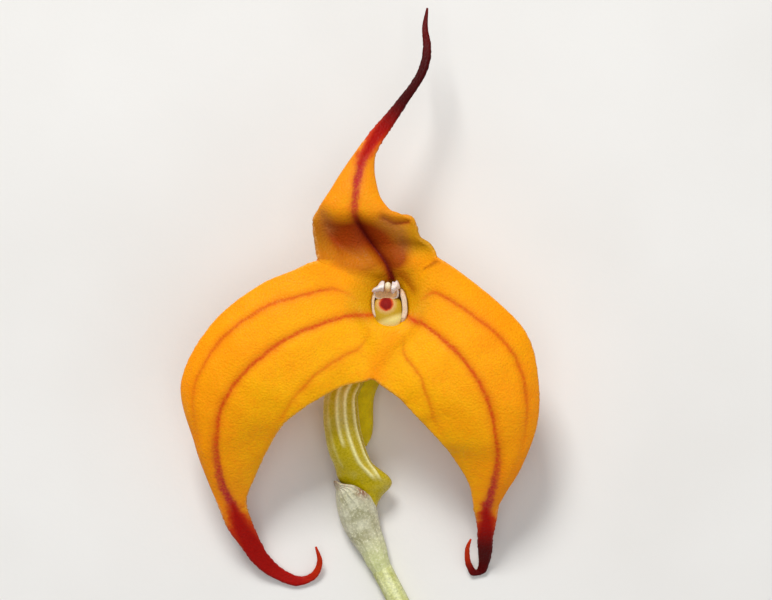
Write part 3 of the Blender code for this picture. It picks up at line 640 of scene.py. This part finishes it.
def sepal_rows(blade, tail, low_seam, high_seam, shares):
    """Rows of points over one sepal from the chin to the tail's tip, and their places."""
    span = (high_seam - low_seam) % 360
    if span > 180:
        span -= 360
    turn = np.radians(low_seam + span * (shares + 1) / 2)
    line = np.array(TUBE)
    rows = []
    for point, way in zip(line, directions(line)):
        side = RIGHTWARD - way * way[0]
        side /= np.linalg.norm(side)
        rows.append(ring(point[:3], side, np.cross(way, side), point[3], point[4], turn))
    first = across_blade(*blade[0], shares)
    rim = rows[-1] + (first - rows[-1]) * RIM_SHARE
    rim[:, 2] += RIM_HEIGHT
    places = list(run_along(line))
    throat = places[-1]
    rows += [rim, first]
    places += [throat + 1.3, throat + 6.8]
    ends = np.array(tail)
    ways = np.gradient(ends[:, :3], axis=0)
    rows += [across_blade(*section, shares) for section in blade[1:]]
    across = rows[-1][-1] - rows[-1][0]
    hand = math.copysign(1.0, ways[0][1] * across[0] - ways[0][0] * across[1])
    rows += [tail_row(point, way, shares, hand) for point, way in zip(ends, ways)]
    middles = [np.array(section[1]) for section in blade] + [e[:3] for e in ends]
    for a, b in zip(middles[:-1], middles[1:]):
        places.append(places[-1] + float(np.linalg.norm(b - a)))
    return np.array(places), np.array(rows), len(line) + 1, throat


def line_distance(points, line):
    """Distance in plan from each point to a line of corners."""
    nearest = np.full(points.shape[:-1], 1e9)
    for a, b in zip(np.array(line[:-1]), np.array(line[1:])):
        along = np.clip(((points[..., :2] - a) @ (b - a)) / ((b - a) @ (b - a)), 0, 1)
        gap = np.linalg.norm(points[..., :2] - a - along[..., None] * (b - a), axis=-1)
        nearest = np.minimum(nearest, gap)
    return nearest


def sepal_grid(name, blade, tail, low_seam, high_seam, sizes):
    """Points, half thickness and surface values over one sepal."""
    even = np.linspace(-1, 1, POINTS_ACROSS)
    shares = 0.3 * even + 0.7 * np.sin(even * math.pi / 2)
    places, rows, parting, throat = sepal_rows(blade, tail, low_seam, high_seam, shares)
    leaving = tangents(places, rows)
    arriving = leaving.copy()
    chord = (rows[parting] - rows[parting - 1]) / (places[parting] - places[parting - 1])
    edge = (np.abs(shares) ** 4)[:, None]
    arriving[parting] = leaving[parting] * (1 - edge) + chord * edge
    step = sizes.mesh_step / MM
    hidden = divide([p for p in places if p <= throat - 3.0], step * HIDDEN_COARSENESS)
    at = np.array(hidden[:-1] + divide([hidden[-1]] + [p for p in places if p > throat - 3.0], step))
    points = np.array([hermite(places, rows, arriving, leaving, a) for a in at])

    middle = points[:, len(shares) // 2]
    half_wide = np.where(shares[None, :] < 0, np.linalg.norm(points[:, 0] - middle, axis=1)[:, None],
                         np.linalg.norm(points[:, -1] - middle, axis=1)[:, None])
    share = np.broadcast_to(shares, half_wide.shape)
    along = np.clip((at - throat - 2.0) / (places[-1] - throat - 2.0), -0.05, 1)[:, None]
    along = np.broadcast_to(along, share.shape)
    blade_on = smooth_step(0.0, 0.12, along)
    outer_places, inner_places = (np.array(p) for p in VEIN_PLACES[name])
    mid, outer, inner = (
        np.clip((share - line) * half_wide, -1.2, 1.2)
        for line in (0.0, np.interp(along, *outer_places.T), np.interp(along, *inner_places.T)))

    # Veins lie in shallow grooves, and the flesh between them swells a little, but not where sepals meet
    parted = (at > places[parting] + 1e-9)[:, None]
    free = np.where(parted, 1.0, smooth_step(1.0, 0.9, np.abs(share)))
    depth = sizes.groove_depth / MM
    flat = 1 - smooth_step(TAIL_STARTS[name] - 0.1, TAIL_STARTS[name] + 0.1, along)
    sink = bell(mid, 0.55) + 0.6 * bell(outer, 0.5) + 0.45 * bell(inner, 0.5)
    x, y = points[..., 0].copy(), points[..., 1].copy()
    swell = 0.5 * np.sin(x * 0.9 + 1.1 * np.sin(y * 0.5)) * np.sin(y * 0.8 + 0.7 * np.sin(x * 0.6))
    points[..., 2] += depth * (swell - sink) * blade_on * flat * free

    # Papillae make the margin finely rough, less so near the throat
    random = np.random.default_rng(MARGIN_SEED)
    for column, towards in ((0, 1), (-1, -2)):
        outward = points[:, column] - points[:, towards]
        outward /= np.maximum(np.linalg.norm(outward, axis=1), 1e-9)[:, None]
        shift = random.uniform(-1, 1, len(at)) * sizes.margin_grain / MM * np.minimum(half_wide[:, column], 1)
        shift = shift * (0.3 + 0.7 * smooth_step(0.12, 0.3, along[:, 0]))
        rim = np.maximum(0, 1 - np.abs(share - shares[column]) / 0.04) * parted
        points += (rim * shift[:, None])[..., None] * outward[:, None, :]

    rounding = np.clip(sizes.margin_radius / MM / np.maximum(half_wide, 0.05), 0, 0.7)
    u = np.clip((np.abs(share) - (1 - rounding)) / rounding, 0, 1)
    round_off = np.where(parted, np.sqrt(np.maximum(0, 1 - u * u)), 1.0)
    slender = np.clip(half_wide / 0.7, 0.25, 1)
    half = sizes.sepal_wall / MM / 2 * round_off * np.where(parted, slender, 1.0)
    half[-1] = 0
    nothing = np.zeros_like(share)
    tail_from = TAIL_STARTS[name]
    tail_share = (along - tail_from) / (1 - tail_from)
    distance = np.hypot(x + 0.2, y - 0.8)
    dark, fading, lit_tip = TAIL_DARKNESS[name]
    values = {
        "along": along, "across": np.abs(share), "mid": mid, "outer": outer, "inner": inner,
        "tail": tail_share, "groove_red_and_shade": nothing, "painted_sheen": nothing,
        # painted highlight along the margins
        "rim_highlight": smooth_step(0.4, 0.1, (1 - np.abs(share)) * half_wide) * parted,
        # darker red along the tail, turned back at the lateral tips as painted light
        "dusk": (smooth_step(0.08, 0.4, tail_share + 0.4 * (1 - np.abs(share)))
                 * (1 - lit_tip * smooth_step(0.66, 0.86, tail_share))),
        # brown along the right fold, and painted shade where the dorsal's shoulder laps over this sepal
        "shade_and_stain": (0.6 * bell(line_distance(points, RIGHT_FOLD[1:]), 0.8) * smooth_step(2.9, 3.6, distance)
                   + 0.55 * bell(line_distance(points, SHOULDER_LAP), 0.25)),
        "warm": np.clip(0.35 + 0.45 * share + 0.3 * along
                        + 0.9 * bell(line_distance(points, SEAM_LINE), 1.3), 0, 1),
        "collar": 0.8 * (1 - smooth_step(3.0, 7.0, distance)) * smooth_step(-4.5, -0.5, y),
        "tube": np.broadcast_to(1 - smooth_step(throat - 2.5, throat + 0.8, at)[:, None], share.shape),
    }
    # the dorsal tail's own dark red, and painted shade round the right tail's bend
    values["deep"] = (dark * smooth_step(0.05, 0.4, tail_share)
                      * (1 - fading * smooth_step(0.62, 0.85, tail_share)))
    if name == "dorsal":
        below_crest = smooth_step(12.6, 10.6, y)
        above_throat = smooth_step(3.0, 4.6, y)
        groove = line_distance(points, GROOVE_LINE)
        folds = np.minimum(line_distance(points, LEFT_FOLD), line_distance(points, RIGHT_FOLD))
        curl = line_distance(points, SHOULDER_CURL)
        painted_sheen = np.minimum(line_distance(points, LEFT_SHEEN), line_distance(points, RIGHT_SHEEN))
        for line, (deepest, width), reach in ((groove, GROOVE_RELIEF, below_crest * above_throat),
                                              (folds, FOLD_RELIEF, blade_on), (curl, CURL_RELIEF, 1.0)):
            points[..., 2] -= deepest * bell(line, width) * reach * free
        inward = smooth_step(1.0, 0.35, np.abs(share))
        apart = smooth_step(0.09, 0.17, along)
        # Painted shade under the crest, in the hollow beside the groove and along the folds and curl, over
        # the hood's own brown stain
        shade_under_crest = smooth_step(11.4, 9.3, y) * smooth_step(6.6, 8.6, y)
        values["warm"] = 0.82 - 0.35 * apart
        # Painted shade: the olive is spread over the hood below its crest
        values["collar"] = np.maximum(values["collar"], 0.95 * smooth_step(13.0, 9.5, y) * apart)
        # Vein red and painted shade down the groove, below the crest
        values["groove_red_and_shade"] = np.clip(0.9 * bell(groove, 0.6) + 0.3 * bell(groove, 1.4), 0, 1) * below_crest
        beyond = smooth_step(-0.3, 0.6, x - np.interp(y, *np.array(GROOVE_LINE)[::-1, ::-1].T))
        stain_and_shade = (0.9 * bell(groove, 3.0) * smooth_step(11.4, 9.4, y) * smooth_step(3.2, 7.2, y)
                 + 0.5 * bell(groove, 1.7) * beyond * smooth_step(3.2, 4.8, y) * smooth_step(9.0, 7.0, y)
                 + 0.35 * shade_under_crest + 0.5 * bell(folds, 0.9) + 0.8 * bell(curl, 0.5))
        stain_and_shade = stain_and_shade * blade_on * np.maximum(inward, bell(curl, 0.5))
        off_seam = np.where(parted, 1.0, smooth_step(1.0, 0.65, np.abs(share)))
        left_side = (0.52 * smooth_step(-0.5, -3.5, x) * smooth_step(12.4, 10.4, y)
                     * smooth_step(3.2, 5.2, y) * off_seam)
        strongest = 0.58 + 0.37 * np.maximum(smooth_step(5.5, 8.5, y),
                                             0.8 * beyond * smooth_step(3.6, 5.0, y))
        values["shade_and_stain"] = np.minimum(np.maximum(values["shade_and_stain"], stain_and_shade) + left_side, strongest)
        # Painted sheen on the two shoulders
        values["painted_sheen"] = 0.7 * bell(painted_sheen, 0.95) * blade_on
        # less painted highlight along the dorsal's right margin
        values["rim_highlight"] = values["rim_highlight"] * np.where(share < 0, 1.0, 0.25)
    if name == "right":
        points, half = points[:, ::-1], half[:, ::-1]
        values = {key: value[:, ::-1] for key, value in values.items()}
    return points, half, values


def patch(rows, along_cells, across_cells):
    """A smooth grid of points through rows of control points."""
    grid = np.array(rows, dtype=float)
    for cells in (along_cells, across_cells):
        steps = np.linalg.norm(np.diff(grid, axis=0), axis=2).mean(axis=1)
        places = np.concatenate([[0.0], np.cumsum(steps)])
        slopes = tangents(places, grid)
        at = np.linspace(0, places[-1], cells + 1)
        grid = np.array([hermite(places, grid, slopes, slopes, a) for a in at]).transpose(1, 0, 2)
    return grid


def rounded(shape, half_wall, along_power=16, across_power=6):
    """Half thickness over a grid, which comes to nothing round its edge."""
    s = np.linspace(-1, 1, shape[0])[:, None]
    t = np.linspace(-1, 1, shape[1])[None, :]
    return half_wall * np.sqrt(1 - s ** along_power) * np.sqrt(1 - t ** across_power)


# Ovary and pedicel: centre, half width and half depth, from the tube down to the stem
OVARY = [
    (-4.05, -6.9, -7.6, 0.35, 0.12), (-4.3, -7.5, -7.8, 1.0, 0.45), (-4.75, -8.5, -8.2, 1.6, 1.05),
    (-5.3, -9.6, -8.5, 1.95, 1.5), (-6.35, -11.6, -8.1, 2.2, 1.8), (-6.5, -14.5, -8.0, 2.4, 1.8),
    (-6.15, -17.5, -8.4, 2.45, 1.8), (-5.45, -20.0, -9.2, 2.62, 1.78), (-4.9, -21.1, -9.8, 2.72, 1.78),
    (-4.2, -22.0, -10.3, 3.15, 1.75), (-3.6, -22.85, -10.75, 3.55, 1.7), (-3.15, -23.7, -11.2, 3.45, 1.6),
    (-2.95, -24.5, -11.55, 2.9, 1.5), (-2.85, -25.3, -11.85, 2.0, 1.3), (-2.7, -26.5, -12.2, 1.12, 1.05),
    (-2.75, -28.2, -12.6, 0.85, 0.8), (-2.45, -31.4, -12.85, 0.74, 0.74), (-1.72, -34.2, -12.95, 0.7, 0.7),
]
# Ribs: the angle where each starts, its strength and how far down it runs
# A rib's strength also lays its pale crest colour, which is partly a painted highlight
OVARY_RIBS = ((12, 0.3, -21.5), (46, 0.3, -21.5), (78, 0.8, -18.2), (104, 1.0, -23.3), (139, 1.0, -23.3),
              (172, 0.4, -20.5), (215, 0.7, -21.5), (260, 0.8, -21.5), (305, 0.7, -21.5), (340, 0.4, -21.5))
RIB_WIDTH = 6

# Bract: centre, half width, half depth, the half angle it wraps and the angle it faces
BRACT = [
    (-0.75, -36.2, -13.18, 1.2, 1.2, 176, 150), (-1.25, -35.1, -13.15, 1.34, 1.34, 174, 150),
    (-1.6, -34.4, -13.05, 1.44, 1.44, 170, 150),
    (-2.25, -32.6, -12.85, 1.68, 1.5, 160, 145), (-3.05, -31.0, -12.7, 1.98, 1.6, 150, 140),
    (-3.95, -28.8, -12.4, 2.35, 1.9, 138, 135), (-4.5, -26.9, -12.15, 2.45, 2.5, 120, 130),
    (-4.95, -25.1, -12.0, 2.2, 2.95, 92, 138), (-5.2, -24.1, -11.95, 1.98, 3.0, 68, 145),
    (-5.55, -23.3, -11.9, 1.9, 2.9, 38, 165), (-5.75, -22.8, -11.9, 1.85, 2.8, 16, 174),
]
# The bract's brown scar in plan
SCAR = (-3.6, -24.7)

# Stem: middle line and radius
STEM = [
    (-2.0, -33.6, -13.1, 1.0), (-1.4, -34.8, -13.2, 1.3), (-0.05, -37.4, -13.15, 1.36),
    (2.4, -42.2, -13.05, 1.42), (5.2, -48.2, -12.95, 1.44), (7.9, -55.0, -12.9, 1.44),
    (10.2, -62.0, -12.9, 1.44), (12.1, -69.0, -12.95, 1.44), (13.5, -76.0, -13.05, 1.45),
    (14.4, -83.0, -13.12, 1.45), (14.75, -89.2, -13.14, 1.45), (14.78, -89.9, -13.14, 1.4),
]

# Petals in plan at the mouth, each with its half thickness there
PETALS = {
    "left": ([(-1.7, 2.1), (-2.12, 1.1), (-2.2, -0.3), (-2.04, -1.5), (-1.68, -2.25)], 0.17),
    "right": ([(1.4, 2.1), (1.8, 1.2), (2.0, -0.1), (2.02, -1.2), (1.78, -2.05), (1.5, -2.45)], 0.33),
}
# How far a petal runs down the tube, and how much narrower it is there
PETAL_LENGTH = 7.2
PETAL_TAPER = 0.28

# The column's folded wings: three lines of points from the outer corner inwards
LEFT_WING = [
    [(-2.4, 1.72, 0.9), (-1.85, 1.7, 1.2), (-1.3, 1.78, 1.3), (-0.86, 1.68, 1.35)],
    [(-2.3, 1.9, 1.35), (-1.75, 2.1, 2.0), (-1.2, 2.3, 2.25), (-0.74, 2.35, 2.2)],
    [(-2.1, 2.15, 0.95), (-1.6, 2.45, 1.2), (-1.05, 3.15, 1.3), (-0.68, 3.1, 1.35)],
]
RIGHT_WING = [
    [(0.08, 1.8, 1.6), (0.33, 1.42, 1.4), (0.75, 1.85, 1.3), (1.38, 2.2, 0.9)],
    [(0.16, 2.35, 2.25), (0.45, 2.2, 2.35), (0.8, 2.4, 2.1), (1.25, 2.5, 1.3)],
    [(0.3, 3.1, 1.35), (0.6, 3.0, 1.4), (0.85, 3.2, 1.25), (1.12, 2.8, 0.9)],
]

# Lip: middle line and half width, from its foot in the tube to its apex
LIP = [
    (-0.2, -0.6, -7.2, 0.5), (-0.2, -1.2, -5.0, 0.8), (-0.2, -2.1, -2.6, 1.15), (-0.15, -2.75, -0.8, 1.25),
    (-0.15, -2.9, 0.2, 1.35), (-0.17, -2.25, 0.8, 1.66), (-0.2, -1.2, 0.95, 1.82), (-0.22, -0.3, 0.85, 1.84),
    (-0.24, 0.4, 0.6, 1.76), (-0.26, 0.9, 0.2, 1.6),
]
LIP_HALF_WALL = 0.34
APEX_CENTRE = (-0.45, -0.02)

# Soft lights: name, place from the throat and width in metres, and power in watts
LIGHTS = (("key_light", (-0.15, 0.5, 0.55), 0.22, 4.6), ("fill_light", (0.5, -0.25, 0.5), 0.7, 0.9),
          ("top_light", (0.0, -0.05, 0.8), 0.5, 1.7))
CAMERA_FROM_THROAT = (-0.52, 0.65, 418.0)
CAMERA_LENS = 150.0


def upright_frames(line):
    """Level side and upward of each point of a line that runs over the ground."""
    ways = directions(line)
    sides = np.cross(ways, UPWARD)
    sides /= np.linalg.norm(sides, axis=1)[:, None]
    return sides, np.cross(sides, ways)


def inside_tube(x, y, z, slim=1.0):
    """Carries a place in the mouth's plan down the tube, along its middle."""
    line = smooth_line(TUBE[5:], 0.5)[::-1]
    centre_x = np.interp(-z, -line[:, 2], line[:, 0])
    centre_y = np.interp(-z, -line[:, 2], line[:, 1])
    return np.stack([centre_x + x * slim, centre_y + y * slim, z + 0.0 * x], axis=-1)


def keep_off_tube(points, clearance):
    """Moves points that lie in the tube's flesh out to its skin."""
    line = smooth_line(TUBE, 0.5)
    for i, point in enumerate(points):
        away = point - line[:, :3]
        reach = np.linalg.norm(away, axis=1) - (line[:, 3] + clearance)
        nearest = int(reach.argmin())
        if reach[nearest] < 0:
            out = away[nearest] / np.linalg.norm(away[nearest])
            points[i] = line[nearest, :3] + out * (line[nearest, 3] + clearance)
    return points


class ORCHID_OT_sepals(bpy.types.Operator):
    """The three tailed sepals, grown together into one tube"""
    bl_idname = "orchid.sepals"
    bl_label = "Sepals"

    def execute(self, context):
        sizes, colours = context.scene.orchid_sizes, context.scene.orchid_colours
        grids = [
            sepal_grid("left", LEFT_BLADE, LEFT_TAIL, SEAM_LATERAL, SEAM_LEFT, sizes),
            sepal_grid("right", RIGHT_BLADE, RIGHT_TAIL, SEAM_LATERAL, SEAM_RIGHT, sizes),
            sepal_grid("dorsal", DORSAL_BLADE, DORSAL_TAIL, SEAM_LEFT, SEAM_RIGHT, sizes),
        ]
        mesh = shell_mesh("tailed_sepals", grids)
        place("tailed_sepals", mesh, sepal_material(sizes, colours), "sepals")
        return {"FINISHED"}


class ORCHID_OT_petals(bpy.types.Operator):
    """The two small petals beside the column"""
    bl_idname = "orchid.petals"
    bl_label = "Petals"

    def execute(self, context):
        colours = context.scene.orchid_colours
        material = flesh_material("translucent_petal_flesh", colours.petal, colours.petal_rim, "rim", 0.22,
                                  0.03, 0.36, 0.3)
        for name, (outline, half_wall) in PETALS.items():
            line = smooth_line([(x, y, 0.0) for x, y in outline], 0.22)
            middle = line[:, :2].mean(axis=0)
            levels = np.linspace(0, 1, 40) ** 1.5
            rows = []
            for level in levels:
                rounding = 0.7 + 0.3 * smooth_step(0.0, 0.08, level)
                plan = middle + (line[:, :2] - middle) * rounding
                rows.append(inside_tube(plan[:, 0], plan[:, 1], 0.95 - PETAL_LENGTH * level,
                                        1 - PETAL_TAPER * level))
            points = np.array(rows)
            half = rounded(points.shape, half_wall, 30, 6)
            rim = np.broadcast_to((1 - smooth_step(0.0, 0.12, levels))[:, None], half.shape)
            mesh = shell_mesh("throat_petal_" + name, [(points, half, {"rim": rim})])
            place("throat_petal_" + name, mesh, material, "petal_" + name)
        return {"FINISHED"}


class ORCHID_OT_column(bpy.types.Operator):
    """The column with its two white wings, and the cap between them"""
    bl_idname = "orchid.column"
    bl_label = "Column and cap"

    def execute(self, context):
        colours = context.scene.orchid_colours
        material = flesh_material("translucent_column_flesh", colours.column, colours.wing, "white",
                                  0.22, 0.03, 0.36, 0.3, 0.22)
        angles = np.linspace(0, 2 * math.pi, 48, endpoint=False)
        square_x = np.sign(np.cos(angles)) * np.abs(np.cos(angles)) ** 0.6
        square_y = np.sign(np.sin(angles)) * np.abs(np.sin(angles)) ** 0.6
        rings, white = [], []
        stations = [(k / 20, 1.0) for k in range(20)] + [(0.99, 0.97), (1.01, 0.88), (1.0, 0.8), (0.99, 0.4)]
        for level, shrink in stations:
            spread = smooth_step(0.7, 0.95, level)
            x = -0.45 * spread + square_x * (0.95 + 0.75 * spread) * shrink
            y = 1.5 - 0.05 * spread + square_y * (0.8 + 0.05 * spread) * shrink
            z = -6.6 + 7.6 * min(level, 1.01) + 0.35 * square_y * spread * shrink
            rings.append(inside_tube(x, y, z, 0.65 + 0.35 * min(level, 1.0)))
            white.append(np.full(len(angles), 0.7 if shrink in (0.88, 0.97) else 0.0))
        mesh = loft_mesh("winged_column", rings, {"white": white})
        place("winged_column", mesh, material, "column")
        for name, lines in (("left", LEFT_WING), ("right", RIGHT_WING)):
            points = patch(lines, 14, 18)
            half = rounded(points.shape, 0.09, 8, 8)
            mesh = shell_mesh("column_wing_" + name, [(points, half, {"white": np.ones(half.shape)})])
            place("column_wing_" + name, mesh, material, None)

        rings, rim = [], []
        for level in np.linspace(-0.98, 0.98, 17):
            radius = math.sqrt(1 - level ** 2)
            x = -0.27 + np.cos(angles) * radius * 0.46
            y = 2.3 + np.sin(angles) * radius * 0.68
            rings.append(np.stack([x, y, 1.6 + 0.42 * level + 0.25 * (y - 2.3)], axis=-1))
            rim.append(smooth_step(1.9, 2.5, y))
        wax = flesh_material("waxy_anther_cap", colours.column, colours.anther, "rim", 0.2, 0.02, 0.32, 0.25)
        place("anther_cap_wax", loft_mesh("anther_cap_wax", rings, {"rim": rim}), wax, "anther_cap")
        return {"FINISHED"}


class ORCHID_OT_lip(bpy.types.Operator):
    """The fleshy lip that bends over under the column"""
    bl_idname = "orchid.lip"
    bl_label = "Lip"

    def execute(self, context):
        line = smooth_line(LIP, 0.16)
        shares = np.linspace(-1, 1, 25)
        rows, apex, bend_highlight = [], [], []
        for point, way in zip(line, directions(line)):
            cup = np.cross(RIGHTWARD, way)
            cup /= np.linalg.norm(cup)
            x = point[0] + shares * point[3]
            dish = -0.22 * point[3] * np.abs(shares) ** 3
            y = point[1] + cup[1] * dish
            z = point[2] + cup[2] * dish
            distance = 1.08 * np.hypot((x - APEX_CENTRE[0]) / 1.05, y - APEX_CENTRE[1]) + 5.0 * (z < 0)
            z = z + 0.3 * bell(distance, 0.62)
            apex.append(distance)
            # Painted highlight along the bend, lying more to the right side
            bend_highlight.append(smooth_step(-1.45, -2.2, y - 0.35 * (x + 0.3)) * smooth_step(-2.5, 0.2, z))
            rows.append(inside_tube(x, y, z, 1.0 + 0.3 * np.minimum(z, 0.0) / 7.2))
        points = np.array(rows)
        half = rounded(points.shape, LIP_HALF_WALL, 16, 4)
        mesh = shell_mesh("cupped_lip", [(points, half, {"apex": np.array(apex), "bend_highlight": np.array(bend_highlight)})])
        place("cupped_lip", mesh, lip_material(context.scene.orchid_colours), "lip")
        return {"FINISHED"}


class ORCHID_OT_ovary(bpy.types.Operator):
    """The ribbed ovary with its knee, and the pedicel below it"""
    bl_idname = "orchid.ovary"
    bl_label = "Ovary and pedicel"

    def execute(self, context):
        colours = context.scene.orchid_colours
        line = smooth_line(OVARY, 0.25)
        sides, ups = upright_frames(line)
        level = smooth_step(-17.5, -20.0, line[:, 1])[:, None]
        sides = sides * (1 - level) + -RIGHTWARD * level
        ups = ups * (1 - level) + UPWARD * level
        angles = np.linspace(0, 2 * math.pi, 144, endpoint=False)
        degrees = np.degrees(angles)
        rings, ribs_and_highlight = [], []
        for point, side, up in zip(line, sides, ups):
            twist = 8 * smooth_step(-14.0, -20.0, point[1])
            gather = 1 - 0.6 * smooth_step(-20.8, -23.0, point[1])
            ridge = np.zeros(len(angles))
            for start, strength, end in OVARY_RIBS:
                turned = start + twist
                if turned > 110:
                    turned = 110 + (turned - 110) * gather
                fading = smooth_step(end - 0.7, end + 0.7, point[1])
                ridge += strength * fading * bell((degrees - turned + 180) % 360 - 180, RIB_WIDTH)
            ribbed = smooth_step(-24.2, -22.5, point[1]) * smooth_step(-8.0, -11.5, point[1])
            swell = 1 + 0.085 * (ridge - 0.4) * ribbed
            rings.append(keep_off_tube(ring(point[:3], side, up, point[3], point[4], angles, swell), 0.45))
            ribs_and_highlight.append(ridge * ribbed)
        mesh = loft_mesh("ribbed_ovary", rings, {"rib_and_highlight": ribs_and_highlight})
        # Pale rib crests, partly a painted gloss highlight
        material = flesh_material("glossy_ovary_skin", colours.ovary, colours.rib_and_highlight, "rib_and_highlight", 0.28, 0.03,
                                  0.27, 0.12)
        place("ribbed_ovary", mesh, material, "ovary_and_pedicel")
        return {"FINISHED"}


class ORCHID_OT_bract(bpy.types.Operator):
    """The dry papery bract round the pedicel"""
    bl_idname = "orchid.bract"
    bl_label = "Bract"

    def execute(self, context):
        line = smooth_line(BRACT, 0.2)
        shares = np.linspace(-1, 1, 81)
        random = np.random.default_rng(BRACT_SEED)
        rows = []
        for k, (point, way) in enumerate(zip(line, directions(line))):
            side = np.array([way[1], -way[0], 0.0])
            side /= np.linalg.norm(side)
            torn = point[5] * (1 + 0.012 * random.uniform(-1, 1))
            turn = np.radians(point[6] + shares * torn)[:, None]
            crease = 1 + 0.006 * np.sin(shares * 30 + 0.5 * math.sin(k * 0.23))[:, None] * min(1.0, k / 12)
            rows.append(point[:3] + np.cos(turn) * point[3] * crease * side
                        + np.sin(turn) * point[4] * crease * UPWARD)
        points = np.array(rows)
        s = np.broadcast_to(shares, points.shape[:2])
        mouth = np.broadcast_to(np.linspace(0, 1, len(line))[:, None], points.shape[:2])
        foot = 0.12 + 0.88 * smooth_step(0.0, 0.25, mouth)
        half = 0.15 * foot * rounded(points.shape, 1.0, 60, 40)
        scar = bell(np.hypot(points[..., 0] - SCAR[0], points[..., 1] - SCAR[1]), 0.9)
        values = {"mouth": mouth, "scar": scar, "nerve": np.clip(np.sin(s * 30 + 0.3), 0, 1) ** 4}
        mesh = shell_mesh("papery_bract", [(points, half, values)])
        place("papery_bract", mesh, bract_material(context.scene.orchid_colours), "floral_bract")
        return {"FINISHED"}


class ORCHID_OT_stem(bpy.types.Operator):
    """The cut stem"""
    bl_idname = "orchid.stem"
    bl_label = "Stem"

    def execute(self, context):
        colours = context.scene.orchid_colours
        line = smooth_line(STEM, 0.5)
        sides, ups = upright_frames(line)
        angles = np.linspace(0, 2 * math.pi, 56, endpoint=False)
        rings, ribs_and_highlight = [], []
        for k, (point, side, up) in enumerate(zip(line, sides, ups)):
            wave = np.cos(7 * angles + 0.02 * k)
            swell = 1 + 0.014 * wave + 0.008 * math.sin(k * 0.21)
            rings.append(ring(point[:3], side, up, point[3], point[3], angles, swell))
            # Pale stripes round the stem, with a painted highlight along its top
            ribs_and_highlight.append(0.3 + 0.35 * bell(np.degrees(angles) - 92, 45) + 0.2 * wave)
        mesh = loft_mesh("cut_stem", rings, {"rib_and_highlight": ribs_and_highlight})
        material = flesh_material("granular_stem_skin", colours.stem, colours.stem_pale_and_highlight, "rib_and_highlight", 0.3, 0.05,
                                  0.42, 0.12, 0.3)
        place("cut_stem", mesh, material, "stem")
        return {"FINISHED"}


class ORCHID_OT_stage(bpy.types.Operator):
    """The pale floor, the soft lights and the camera that looks down on the flower"""
    bl_idname = "orchid.stage"
    bl_label = "Floor, lights and camera"

    def execute(self, context):
        scene = context.scene
        colours = scene.orchid_colours
        bpy.ops.mesh.primitive_plane_add(size=6.0)
        floor = context.active_object
        floor.name = "studio_floor"
        floor.data.materials.append(floor_material(colours))
        centre = Vector(tuple(THROAT * MM))
        for name, offset, size, power in LIGHTS:
            data = bpy.data.lights.new(name, "AREA")
            data.size = size
            data.energy = power
            lamp = bpy.data.objects.new(name, data)
            scene.collection.objects.link(lamp)
            lamp.location = centre + Vector(offset)
            lamp.rotation_euler = (-Vector(offset)).to_track_quat("-Z", "Y").to_euler()
        world = bpy.data.worlds.new("soft_studio")
        world.use_nodes = True
        sky = world.node_tree.nodes["Background"]
        sky.inputs["Color"].default_value = (*linear("#f3f6ff"), 1.0)
        sky.inputs["Strength"].default_value = 0.25
        scene.world = world
        data = bpy.data.cameras.new("camera")
        data.lens = CAMERA_LENS
        data.sensor_width = 36.0
        data.clip_start = 0.01
        data.clip_end = 10.0
        camera = bpy.data.objects.new("camera", data)
        scene.collection.objects.link(camera)
        camera.location = centre + Vector(CAMERA_FROM_THROAT) * MM
        scene.camera = camera
        scene.view_settings.view_transform = "Standard"
        return {"FINISHED"}


class ORCHID_PT_panel(bpy.types.Panel):
    """Lists the steps that build the flower"""
    bl_idname = "ORCHID_PT_panel"
    bl_label = "Masdevallia orchid"
    bl_space_type = "VIEW_3D"
    bl_region_type = "UI"
    bl_category = "Orchid"

    def draw(self, context):
        for operator in PIECES:
            self.layout.operator(operator.bl_idname)
        for group in (context.scene.orchid_sizes, context.scene.orchid_colours):
            for key in group.__annotations__:
                self.layout.prop(group, key)


PIECES = (ORCHID_OT_sepals, ORCHID_OT_petals, ORCHID_OT_column, ORCHID_OT_lip, ORCHID_OT_ovary,
          ORCHID_OT_bract, ORCHID_OT_stem, ORCHID_OT_stage)
CLASSES = (OrchidSizes, OrchidColours, *PIECES, ORCHID_PT_panel)


def register():
    """Adds the classes and the scene's settings."""
    for item in CLASSES:
        bpy.utils.register_class(item)
    bpy.types.Scene.orchid_sizes = PointerProperty(type=OrchidSizes)
    bpy.types.Scene.orchid_colours = PointerProperty(type=OrchidColours)


def unregister():
    """Takes them away again."""
    del bpy.types.Scene.orchid_colours
    del bpy.types.Scene.orchid_sizes
    for item in reversed(CLASSES):
        bpy.utils.unregister_class(item)


def main():
    """Builds every piece in order."""
    register()
    for operator in PIECES:
        family, step = operator.bl_idname.split(".")
        getattr(getattr(bpy.ops, family), step)()


if __name__ == "__main__":
    main()
